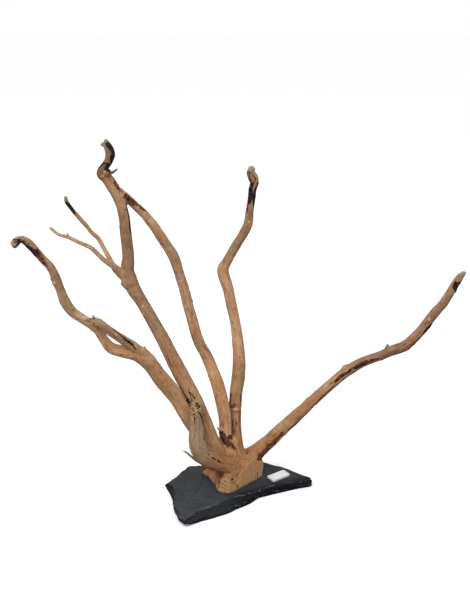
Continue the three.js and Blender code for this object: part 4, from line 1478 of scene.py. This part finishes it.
@dataclass(frozen=True)
class WoodFinish:
    """Finish of bare driftwood with remnants of bark.

    Attributes:
        slot: the record's slot.
        foot: colours of the stump.
        middle: colours of the lower limbs.
        crown: colours of the upper limbs.
        sawn: colour of the sawn faces.
    """

    slot: Slot
    foot: Palette
    middle: Palette
    crown: Palette
    sawn: Colour

    def palette(self, net: Net, height: bpy.types.NodeSocket) -> Palette:
        """Colours that change with height above the plate."""
        rising = net.fade(height, 0.16, 0.30)
        leaving = net.fade(height, 0.05, 0.10)
        return Palette(*(
            net.blend(leaving, getattr(self.foot, name), net.blend(
                rising, getattr(self.middle, name), getattr(self.crown, name)))
            for name in ("light", "warm", "deep")
        ))

    def material(self, effects: Effects) -> bpy.types.Material:
        """Builds the material.

        Args:
            effects: the shared groups.

        Returns:
            The material.
        """
        material, net, shader = new_material(self.slot.value, 0.8)
        place, grain = net.place(), net.attribute("grain", "Vector")
        texture = net.group(effects.grain, grain=grain, place=place, calm=net.attribute("calm"))
        streak, fibre, fleck = texture.outputs[0], texture.outputs[1], texture.outputs[2]
        apart = net.node("ShaderNodeSeparateXYZ")
        net.feed(apart.inputs[0], place)
        shades = self.palette(net, apart.outputs[2])
        cloud = net.noise(place, 34, 3.0, 0.55)
        colour = net.blend(net.fade(cloud, 0.38, 0.62), shades.light, shades.warm)
        colour = net.blend(net.fade(streak, 0.5, 0.72, 0.0, 0.4), colour, shades.deep)
        colour = net.blend(net.fade(net.noise(place, 75, 2.0), 0.5, 0.72, 0.0, 0.4), colour, shades.deep)
        weather = net.group(
            effects.ragged, mask=net.attribute("weather"), place=place, size=60.0, amount=0.3).outputs[0]
        grey = net.blend(net.fade(streak, 0.4, 0.7), srgb(169, 143, 113), srgb(154, 128, 99))
        colour = net.blend(weather, colour, grey)
        dusty = net.blend(net.fade(fibre, 0.32, 0.66), srgb(212, 207, 202), srgb(255, 255, 255))
        colour = net.blend(1.0, colour, dusty, "MULTIPLY")
        colour = net.blend(1.0, colour, net.attribute("tone"), "MULTIPLY")
        colour = net.blend(net.math("MULTIPLY", net.attribute("ash"), 0.8), colour, srgb(142, 128, 110))
        # Painted shade where the shade marks lie: undersides, creases and the hollow under the front stub.
        colour = net.blend(net.math("MULTIPLY", net.attribute("shade"), 0.65), colour, srgb(92, 64, 46))
        colour = net.blend(net.math("MULTIPLY", fleck, 0.7), colour, srgb(84, 54, 38))
        # Pale knots, and pale patches that are partly painted highlight.
        colour = net.blend(net.math("MULTIPLY", net.attribute("pale"), 0.55), colour, srgb(196, 162, 126))
        # Stains; in the valley under the front stub they stand in for shade as well.
        stain = net.math("MULTIPLY", net.attribute("stain"), 0.6)
        colour = net.blend(stain, colour, srgb(104, 72, 50))
        crumb = net.blend(net.fade(net.noise(place, 520, 2.0), 0.42, 0.6), srgb(180, 146, 102), srgb(110, 76, 46))
        colour = net.blend(net.attribute("crumb"), colour, crumb)
        kerf = net.noise(net.stretched(place, (1, 1, 0.16), (0, 40, 45)), 420, 2.0)
        sawn = net.blend(net.fade(kerf, 0.4, 0.66), self.sawn, srgb(148, 114, 80))
        colour = net.blend(net.attribute("sawn"), colour, sawn)
        bark_mask = net.group(
            effects.ragged, mask=net.attribute("bark"), place=place, size=430.0, amount=1.9).outputs[0]
        tone = net.noise(place, 330, 3.0, 0.6)
        bark = net.blend(net.fade(tone, 0.36, 0.62), srgb(44, 30, 26), srgb(112, 69, 50))
        colour = net.blend(bark_mask, colour, bark)
        char_mask = net.group(
            effects.ragged, mask=net.attribute("char"), place=place, size=800.0, amount=0.5).outputs[0]
        char = net.blend(net.fade(tone, 0.4, 0.7), srgb(27, 23, 24), srgb(62, 44, 38))
        colour = net.blend(char_mask, colour, char)
        net.feed(shader.inputs["Base Color"], colour)
        net.feed(shader.inputs["Roughness"], net.fade(streak, 0.3, 0.7, 0.74, 0.88))
        shader.inputs["Specular IOR Level"].default_value = 0.15
        bump(net, shader, texture.outputs[3], 0.45, 0.3)
        return material


@dataclass(frozen=True)
class SlateFinish:
    """Finish of riven slate, its sharp edges pale with bruising and painted highlight."""

    face: Colour = srgb(57, 59, 62)
    deep: Colour = srgb(16, 18, 23)
    bruise_and_highlight: Colour = srgb(112, 116, 122)

    def material(self, effects: Effects) -> bpy.types.Material:
        """Builds the material.

        Args:
            effects: the shared groups.

        Returns:
            The material.
        """
        material, net, shader = new_material(Slot.SLATE.value, 0.7)
        place = net.place()
        cloud = net.noise(place, 28, 4.0, 0.6)
        fine = net.noise(place, 900, 3.0, 0.7)
        apart = net.node("ShaderNodeSeparateXYZ")
        net.feed(apart.inputs[0], place)
        colour = net.blend(net.fade(cloud, 0.38, 0.64), self.face, srgb(46, 48, 51))
        # Painted shade: the slate darker towards the right, where the wood stands over it.
        colour = net.blend(net.fade(apart.outputs[0], -0.03, 0.05, 0.0, 0.45), colour, srgb(34, 35, 38))
        streaks = net.noise(net.stretched(place, (0.4, 1.6, 1)), 150, 4.0, 0.6)
        colour = net.blend(net.fade(streaks, 0.48, 0.7, 0.0, 0.6), colour, srgb(33, 35, 38))
        colour = net.blend(net.math("MULTIPLY", net.attribute("broken"), 0.95), colour, self.deep)
        colour = net.blend(net.fade(fine, 0.4, 0.7, 0.0, 0.5), colour, srgb(74, 78, 82))
        # Painted shade: a near-black band along the front right edge of the plate.
        across = net.math("SUBTRACT", net.math("MULTIPLY", apart.outputs[0], 0.43),
            net.math("MULTIPLY", apart.outputs[1], 0.9))
        front = net.math("MULTIPLY", net.fade(across, 0.018, 0.036),
            net.fade(apart.outputs[0], -0.01, 0.03, 0.0, 0.9))
        colour = net.blend(front, colour, srgb(19, 20, 24))
        # Pale sharp edges and lip: bruised chips, partly painted highlight.
        rim = net.group(effects.ragged, mask=net.attribute("rim"), place=place, size=420.0, amount=1.1).outputs[0]
        colour = net.blend(net.math("MULTIPLY", rim, 0.6), colour, self.bruise_and_highlight)
        seam = net.math("MULTIPLY", net.attribute("seam"), 0.8)
        colour = net.blend(seam, colour, srgb(20, 21, 23))
        net.feed(shader.inputs["Base Color"], colour)
        net.feed(shader.inputs["Roughness"], net.fade(fine, 0.3, 0.7, 0.65, 0.85))
        shader.inputs["Specular IOR Level"].default_value = 0.07
        relief = net.math("ADD", net.noise(place, 260, 4.0, 0.6), net.math("MULTIPLY", fine, 0.4))
        bump(net, shader, relief, 0.5, 0.3)
        return material


@dataclass(frozen=True)
class PaperFinish:
    """Finish of a small white label with a satin face."""

    def material(self) -> bpy.types.Material:
        """Builds the material."""
        material, net, shader = new_material(Slot.LABEL.value, 0.45)
        place = net.place()
        cloud = net.noise(place, 180, 2.0)
        colour = net.blend(net.fade(cloud, 0.4, 0.65), srgb(214, 214, 213), srgb(200, 200, 201))
        net.feed(shader.inputs["Base Color"], colour)
        net.feed(shader.inputs["Roughness"], net.fade(cloud, 0.3, 0.7, 0.35, 0.55))
        bump(net, shader, net.noise(place, 900, 3.0), 0.15, 0.1)
        return material


@dataclass(frozen=True)
class SteelFinish:
    """Finish of a zinc-plated screw."""

    def material(self) -> bpy.types.Material:
        """Builds the material."""
        material, net, shader = new_material(Slot.SCREW.value, 0.35)
        shader.inputs["Metallic"].default_value = 1.0
        place = net.place()
        cloud = net.noise(place, 700, 4.0)
        colour = net.blend(net.fade(cloud, 0.35, 0.65), srgb(176, 176, 172), srgb(146, 146, 142))
        net.feed(shader.inputs["Base Color"], colour)
        net.feed(shader.inputs["Roughness"], net.fade(cloud, 0.3, 0.7, 0.28, 0.48))
        bump(net, shader, net.noise(net.stretched(place, (1, 1, 6)), 1500, 2.0), 0.15, 0.05)
        return material


SLATE_CORNERS = (
    ((-94, 2), (-96, 6), (-95, 15)), ((-80, 24), (-82, 27), (-82, 28)), ((-62, 57), (-64, 59), (-63, 58)),
    ((-33, 62), (-34, 65), (-35, 63)), ((10, 68), (11, 70), (9, 69)), ((52, 72), (53, 74), (50, 72)),
    ((89, 51), (91, 53), (90, 52)), ((125, 21), (128, 22), (127, 20)), ((123, 11), (125, 10), (123, 13)),
    ((106, 8), (107, 5), (107, 8)), ((88, 4), (88, 1), (88, 0)), ((70, -2), (69, -7), (68, -9)),
    ((52, -9), (48, -19), (44, -20)), ((40, -20), (40, -29), (33, -35)), ((28, -25), (28, -36), (25, -42)),
    ((14, -28), (16, -44), (16, -48)), ((-6, -43), (-6, -57), (1, -62)), ((-20, -54), (-23, -69), (-18, -73)),
    ((-34, -62), (-33, -80), (-38, -83)), ((-45, -76), (-46, -92), (-46, -88)),
    ((-54, -90), (-55, -98), (-53, -90)), ((-59, -98), (-61, -99), (-60, -88)),
    ((-69, -87), (-70, -87), (-69, -77)), ((-79, -54), (-80, -52), (-77, -57)),
    ((-78, -21), (-83, -22), (-82, -24)), ((-81, -6), (-88, -4), (-88, -4)), ((-86, 0), (-92, 2), (-92, 6)),
)


# Fine cracks in the slate's top, each as its two ends.
SLATE_CRACKS = (
    ((8, -25), (30, -19.5)), ((30, -19.5), (52, -5)), ((52, -5), (66, 0)), ((56, 48), (73, 37)),
)


@dataclass
class Slate:
    """Riven slate plate: an upper bed with a broken bevel on a lower bed."""

    lower_top: float = 4.6
    upper_bottom: float = 5.2
    lamina: float = 1.25
    screw_x: float = 12.0
    screw_y: float = 27.0
    noise: Field = field(default_factory=lambda: Field(SEED + 5))

    def plate(self) -> Piece:
        """Two beds extruded from the outline, with the screw's countersunk hole."""
        deselect()
        corners = np.array(SLATE_CORNERS, float)
        bpy.ops.mesh.primitive_circle_add(vertices=len(corners), fill_type="NGON")
        plate = named("slate_plate")
        levels = ((2, 0.0), (2, self.lower_top), (1, self.upper_bottom), (0, SLATE_TOP))
        bpy.ops.object.mode_set(mode="EDIT")
        bpy.ops.mesh.select_all(action="SELECT")
        for _ in levels[1:]:
            bpy.ops.mesh.extrude_region_move(TRANSFORM_OT_translate={"value": (0, 0, MM)})
        bpy.ops.object.mode_set(mode="OBJECT")
        count = len(corners)
        order = np.array([vertex.co.z for vertex in plate.data.vertices])
        for level, (column, height) in enumerate(levels):
            ring = np.flatnonzero(np.abs(order - level * MM) < MM / 2)
            turns = np.argsort([-math.atan2(plate.data.vertices[i].co.y, plate.data.vertices[i].co.x) for i in ring])
            for corner, index in enumerate(ring[turns]):
                x, y = corners[corner % count, column]
                plate.data.vertices[index].co = Vector((x, y, height)) * MM
        take(plate)
        bpy.ops.object.mode_set(mode="EDIT")
        bpy.ops.mesh.select_all(action="SELECT")
        bpy.ops.mesh.normals_make_consistent(inside=False)
        bpy.ops.object.mode_set(mode="OBJECT")
        self.drill(plate)
        even_skin(plate, SLATE_CELL)
        return plate

    def drill(self, plate: Piece) -> None:
        """Cuts the countersunk hole from the underside."""
        x, y = self.screw_x * MM, self.screw_y * MM
        bpy.ops.mesh.primitive_cylinder_add(vertices=32, radius=2.5 * MM, depth=40 * MM, location=(x, y, 0))
        shank = bpy.context.active_object
        bpy.ops.mesh.primitive_cone_add(
            vertices=32, radius1=5.4 * MM, radius2=2.3 * MM, depth=4.6 * MM, location=(x, y, 1.4 * MM),
        )
        sink = bpy.context.active_object
        for tool in (shank, sink):
            finish_with(plate, "BOOLEAN", object=tool, operation="DIFFERENCE", solver="EXACT")
            bpy.data.objects.remove(tool)

    def rim_of(self, points: Array) -> tuple[Array, Array]:
        """Distance from the plate's outline and the way out of the plate at each point."""
        outline = np.array([corner[1] for corner in SLATE_CORNERS], float)
        nearest = np.full(len(points), 1e9)
        outward = np.zeros((len(points), 2))
        for start, end in zip(outline, np.roll(outline, -1, axis=0)):
            line = end - start
            share = np.clip((points[:, :2] - start) @ line / (line @ line), 0, 1)
            away = np.linalg.norm(points[:, :2] - start - share[:, None] * line, axis=1)
            across = np.array((-line[1], line[0])) / np.linalg.norm(line)
            outward += across / (away[:, None] ** 2 + 6)
            nearest = np.minimum(nearest, away)
        return nearest, outward / np.linalg.norm(outward, axis=1, keepdims=True)

    def shape(self, plate: Piece) -> None:
        """Splits the edges into thin layers, chips the bevel and gives the top its low relief.

        Args:
            plate: the plate as one even skin.
        """
        skin = Skin(plate)
        from_rim, outward = self.rim_of(skin.points)
        height = skin.points[:, 2].copy()
        side = 1 - smooth_step(0.75, 0.97, np.abs(skin.normals[:, 2]))
        top = smooth_step(0.8, 0.98, skin.normals[:, 2]) * (height > SLATE_TOP - 1.2)
        wave = 0.5 * self.noise.at(np.column_stack([skin.points[:, :2] / 26, height * 0]))
        layer = np.floor((height + wave) / self.lamina)
        spread = np.column_stack([skin.points[:, :2], layer * 47.0])
        inset = 1.2 + 1.3 * self.noise.at(spread / 11) + 0.7 * self.noise.at(spread / 3.7)
        fade = np.where(top > 0.5, 1 - smooth_step(0, 24, from_rim), 1.0)
        skin.points[:, :2] -= outward * (inset * fade * np.maximum(side, top * 0.4))[:, None]
        skin.settle()
        bowl = self.noise.hollow(skin.points / (9, 9, 7))
        chips = -1.5 * (1 - (bowl / 0.75) ** 2).clip(0, 1) + 0.5 * self.noise.layered(skin.points / 3, 2)
        side = 1 - smooth_step(0.75, 0.96, np.abs(skin.normals[:, 2]))
        slope = smooth_step(0.7, 1.7, SLATE_TOP - height) * (skin.normals[:, 2] > 0.2)
        skin.push(chips * np.maximum(side, 0.75 * slope) * (height > 0.8))
        groove = 2.2 * np.exp(-((height - 4.9) / 0.55) ** 2)
        skin.points[:, :2] -= outward * (groove * side)[:, None]
        skin.settle()
        steps = self.noise.layered(np.column_stack([skin.points[:, :2] / 34, height * 0 + 3]), 2)
        terrace = 0.22 * (smooth_step(0.18, 0.2, steps) + smooth_step(-0.3, -0.28, steps) - 2)
        seam_away, left = self.seam(skin.points)
        relief = terrace - 0.3 * left + 0.07 * self.noise.layered(skin.points / 5, 3)
        skin.points[:, 2] += top * (relief - 0.5 * np.exp(-(seam_away / 0.7) ** 2))
        skin.points[:, 2] = np.clip(skin.points[:, 2], 0, SLATE_TOP)
        skin.settle()
        # Sharp edges and the lip under the top edge, which the finish paints pale: bruised chips and painted highlight.
        curve = ((skin.points - skin.averaged(skin.points)) * skin.normals).sum(1)
        for _ in range(2):
            curve = 0.5 * curve + 0.5 * skin.averaged(curve)
        lip = 0.8 * np.exp(-((SLATE_TOP - 0.75 - height) / 0.42) ** 2) * (1 - side)
        near_lip = np.exp(-((SLATE_TOP - 1.6 - height) / 1.3) ** 2)
        patchy = smooth_step(-0.25, 0.35, self.noise.layered(skin.points / 13, 2))
        sharp = smooth_step(0.05, 0.17, curve) * (1 - slope * (1 - 0.75 * np.maximum(near_lip, 0.4) * (0.3 + patchy)))
        skin.keep("rim", np.maximum(sharp, lip * (0.7 + 0.5 * patchy)))
        skin.keep("broken", np.maximum(side, 0.92 * slope))
        crack = np.exp(-(self.crack(skin.points) / 0.5) ** 2)
        skin.keep("seam", top * np.maximum(np.exp(-(seam_away / 0.8) ** 2), crack))

    def crack(self, points: Array) -> Array:
        """Distance from the fine cracks near the front edge and the right corner."""
        nearest = np.full(len(points), 1e9)
        bend = 0.9 * self.noise.at(np.column_stack([points[:, :2] / 6, points[:, 0] * 0 + 9]))
        for start, end in SLATE_CRACKS:
            line = np.subtract(end, start)
            share = np.clip((points[:, :2] - start) @ line / (line @ line), 0, 1)
            away = np.linalg.norm(points[:, :2] - start - share[:, None] * line, axis=1)
            nearest = np.minimum(nearest, away + bend * (away < 3))
        return np.abs(nearest)

    def seam(self, points: Array) -> tuple[Array, Array]:
        """Distance from the thin step across the top, and a share of 1 to the left of it."""
        line = np.array(((-36.4, 39.7), (-37.7, 28.1), (-39.6, 1.7), (-47.1, -23.4)))
        middle = np.interp(points[:, 1], line[::-1, 1], line[::-1, 0])
        middle += 0.8 * self.noise.at(np.column_stack([points[:, 1] / 7, points[:, 1] * 0, points[:, 1] * 0]))
        away = points[:, 0] - middle
        beyond = np.maximum(np.maximum(points[:, 1] - 52, -25 - points[:, 1]), 0)
        return np.hypot(away, beyond), smooth_step(0.4, -0.4, away) * (points[:, 1] > -24)

    def build(self) -> Piece:
        """Builds the plate.

        Returns:
            The plate, thinned where it is flat.
        """
        plate = self.plate()
        self.shape(plate)
        count = sum(len(face.vertices) - 2 for face in plate.data.polygons)
        if count > 180000:
            finish_with(plate, "DECIMATE", ratio=180000 / count)
        take(plate)
        bpy.ops.object.shade_smooth()
        return plate


@dataclass
class LabelSheet:
    """Small blank label that lies on the slate, its corners rounded and its face a little wavy."""

    length: float = 32.0
    width: float = 16.0
    thickness: float = 0.22
    x: float = 75.5
    y: float = 23.5
    turn: float = 37.0

    def build(self) -> Piece:
        """Builds the label.

        Returns:
            The label, touching the slate.
        """
        deselect()
        bpy.ops.mesh.primitive_cube_add(
            size=1, scale=Vector((self.length, self.width, self.thickness)) * MM,
        )
        label = named("blank_label")
        bpy.ops.object.transform_apply(scale=True)
        bpy.ops.object.mode_set(mode="EDIT")
        bpy.ops.mesh.select_all(action="DESELECT")
        bpy.ops.object.mode_set(mode="OBJECT")
        for edge in label.data.edges:
            first, second = (label.data.vertices[index].co for index in edge.vertices)
            edge.select = abs(first.z - second.z) > MM * self.thickness / 2
        bpy.ops.object.mode_set(mode="EDIT")
        bpy.ops.mesh.bevel(offset=1.6 * MM, segments=5)
        bpy.ops.object.mode_set(mode="OBJECT")
        for step in range(1, 24):
            self.slice(label, (step / 24 - 0.5) * self.length, 0)
        for step in range(1, 12):
            self.slice(label, (step / 12 - 0.5) * self.width, 1)
        skin = Skin(label)
        x, y = skin.points[:, 0] / self.length, skin.points[:, 1] / self.width
        skin.points[:, 2] += 0.16 + 0.16 * np.sin(x * 9 + 1) * np.cos(y * 3) + 0.5 * np.abs(x) ** 2 * (y > 0)
        turn = math.radians(self.turn)
        flat = skin.points[:, :2] @ np.array(((math.cos(turn), math.sin(turn)), (-math.sin(turn), math.cos(turn))))
        skin.points[:, :2] = flat + (self.x, self.y)
        skin.points[:, 2] += SLATE_TOP - skin.points[:, 2].min()
        skin.settle()
        take(label)
        bpy.ops.object.shade_smooth_by_angle(angle=math.radians(40))
        return label

    def slice(self, label: Piece, offset: float, axis: int) -> None:
        """Divides the label by a plane across one axis, so that it can bend."""
        point, normal = [0.0, 0.0, 0.0], [0.0, 0.0, 0.0]
        point[axis], normal[axis] = offset * MM, 1.0
        take(label)
        bpy.ops.object.mode_set(mode="EDIT")
        bpy.ops.mesh.select_all(action="SELECT")
        bpy.ops.mesh.bisect(plane_co=point, plane_no=normal)
        bpy.ops.object.mode_set(mode="OBJECT")


@dataclass
class WoodScrew:
    """Countersunk screw from under the slate into the stump."""

    x: float = 12.0
    y: float = 27.0
    head_radius: float = 4.2
    core_radius: float = 1.7
    shank_radius: float = 2.2
    head_depth: float = 2.8
    recess: float = 0.6
    length: float = 38.0
    point: float = 6.0
    pitch: float = 2.4

    def cone(self, low: float, high: float, wide: float, narrow: float) -> Piece:
        """Round stretch of the screw between two heights."""
        bpy.ops.mesh.primitive_cone_add(
            vertices=40, radius1=wide * MM, radius2=narrow * MM, depth=(high - low) * MM,
            location=Vector((self.x, self.y, (low + high) / 2)) * MM,
        )
        return bpy.context.active_object

    def thread(self) -> Piece:
        """Thread as a fine tube wound about the shank."""
        low, high = 13.0, self.recess + self.length - 1.5
        count = round((high - low) / self.pitch * 28)
        height = np.linspace(low, high, count)
        radius = self.shank_radius - 0.45 - 1.45 * smooth_step(high - 5, high, height)
        turn = (height - low) / self.pitch * 2 * math.pi
        points = np.column_stack([
            self.x + radius * np.cos(turn), self.y + radius * np.sin(turn), height, np.full(count, 1 / MM),
        ])
        curve = bpy.data.curves.new("thread", "CURVE")
        curve.dimensions = "3D"
        curve.bevel_depth = 0.42 * MM
        curve.bevel_resolution = 1
        curve.use_fill_caps = True
        spline = curve.splines.new("POLY")
        spline.points.add(count - 1)
        spline.points.foreach_set("co", (points * MM).ravel())
        thread = bpy.data.objects.new("thread", curve)
        bpy.context.scene.collection.objects.link(thread)
        take(thread)
        bpy.ops.object.convert(target="MESH")
        return bpy.context.active_object

    def build(self) -> Piece:
        """Builds the screw.

        Returns:
            The screw, with a cross in its head.
        """
        deselect()
        neck = self.recess + self.head_depth
        tip = self.recess + self.length
        parts = [
            self.cone(self.recess, self.recess + 0.45, self.head_radius, self.head_radius),
            self.cone(self.recess + 0.4, neck, self.head_radius, self.shank_radius),
            self.cone(neck - 0.2, 13.5, self.shank_radius - 0.1, self.shank_radius - 0.2),
            self.cone(13.0, tip - self.point, self.core_radius, self.core_radius),
            self.cone(tip - self.point - 0.1, tip, self.core_radius, 0.15),
            self.thread(),
        ]
        screw = joined("countersunk_screw", parts)
        even_skin(screw, SCREW_CELL)
        for turn in (0.0, math.pi / 2):
            bpy.ops.mesh.primitive_cube_add(
                size=1, location=Vector((self.x, self.y, self.recess)) * MM, rotation=(0, 0, turn + 0.4),
                scale=Vector((4.6, 0.95, 3.2)) * MM,
            )
            blade = bpy.context.active_object
            finish_with(screw, "BOOLEAN", object=blade, operation="DIFFERENCE", solver="EXACT")
            bpy.data.objects.remove(blade)
        take(screw)
        bpy.ops.object.shade_smooth_by_angle(angle=math.radians(35))
        return screw


@dataclass(frozen=True)
class Studio:
    """Pale floor, soft light and the camera at the photograph's viewing angle."""

    camera_at: Point = (0.010, -1.1781, 0.6891)
    camera_tilt: float = 71.8
    lens: float = 54.36

    def floor(self) -> Piece:
        """Wide plain floor."""
        deselect()
        bpy.ops.mesh.primitive_plane_add(size=40, location=(0, 0, -0.0002))
        floor = named("floor")
        material, net, shader = new_material("floor", 0.9)
        seen = net.node("ShaderNodeLightPath").outputs["Is Camera Ray"]
        net.feed(shader.inputs["Base Color"], net.blend(seen, srgb(150, 150, 150), srgb(253, 253, 253)))
        shader.inputs["Specular IOR Level"].default_value = 0.0
        floor.data.materials.append(material)
        return floor

    def light(self, name: str, at: Point, size: float, power: float) -> None:
        """Soft square light that faces the branch."""
        data = bpy.data.lights.new(name, "AREA")
        data.size = size
        data.energy = power
        lamp = bpy.data.objects.new(name, data)
        lamp.location = at
        lamp.rotation_euler = (Vector((0, 0, 0.2)) - Vector(at)).to_track_quat("-Z", "Y").to_euler()
        bpy.context.scene.collection.objects.link(lamp)

    def build(self) -> None:
        """Builds the floor, the lights, the surroundings and the camera."""
        self.floor()
        self.light("key_light", (-0.9, -1.6, 2.3), 1.4, 44)
        scene = bpy.context.scene
        world = bpy.data.worlds.new("studio")
        world.use_nodes = True
        world.node_tree.nodes["Background"].inputs["Color"].default_value = (1, 1, 1, 1)
        world.node_tree.nodes["Background"].inputs["Strength"].default_value = 1.0
        scene.world = world
        scene.view_settings.view_transform = "Standard"
        data = bpy.data.cameras.new("camera")
        data.sensor_width = 36
        data.lens = self.lens
        camera = bpy.data.objects.new("camera", data)
        camera.location = self.camera_at
        camera.rotation_euler = (math.radians(self.camera_tilt), 0, 0)
        scene.collection.objects.link(camera)
        scene.camera = camera


def dress(piece: Piece, node: str, material: bpy.types.Material) -> None:
    """Puts a finished piece in its node's place.

    Args:
        piece: the piece.
        node: CAD node that it stands for.
        material: its material.
    """
    piece.data.materials.clear()
    piece.data.materials.append(material)
    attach(piece, BODY)
    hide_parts(node)
    LOG.info("%s: %d faces", piece.name, len(piece.data.polygons))


def main() -> None:
    """Builds and dresses the branch, its plate, its screw and its label, and the studio."""
    logging.basicConfig(level=logging.INFO, format="%(message)s")
    effects = Effects()
    foot = Palette(srgb(170, 125, 86), srgb(160, 112, 74), srgb(116, 78, 52))
    middle = Palette(srgb(182, 145, 107), srgb(170, 127, 90), srgb(130, 94, 66))
    crown = Palette(srgb(184, 149, 115), srgb(176, 134, 102), srgb(131, 98, 73))
    grey = Palette(srgb(174, 144, 112), srgb(162, 132, 100), srgb(130, 102, 74))
    wood = WoodFinish(Slot.WOOD, foot, middle, crown, srgb(160, 124, 86)).material(effects)
    weathered = WoodFinish(Slot.WEATHERED, grey, grey, grey, srgb(160, 124, 86)).material(effects)
    for node, piece in Wood().build().items():
        stub = node == "front_stub"
        dress(piece, node, weathered if stub else wood)
    dress(Slate().build(), "slate", SlateFinish().material(effects))
    dress(LabelSheet().build(), "label", PaperFinish().material())
    dress(WoodScrew().build(), "screw", SteelFinish().material())
    Studio().build()


if __name__ == "__main__":
    main()
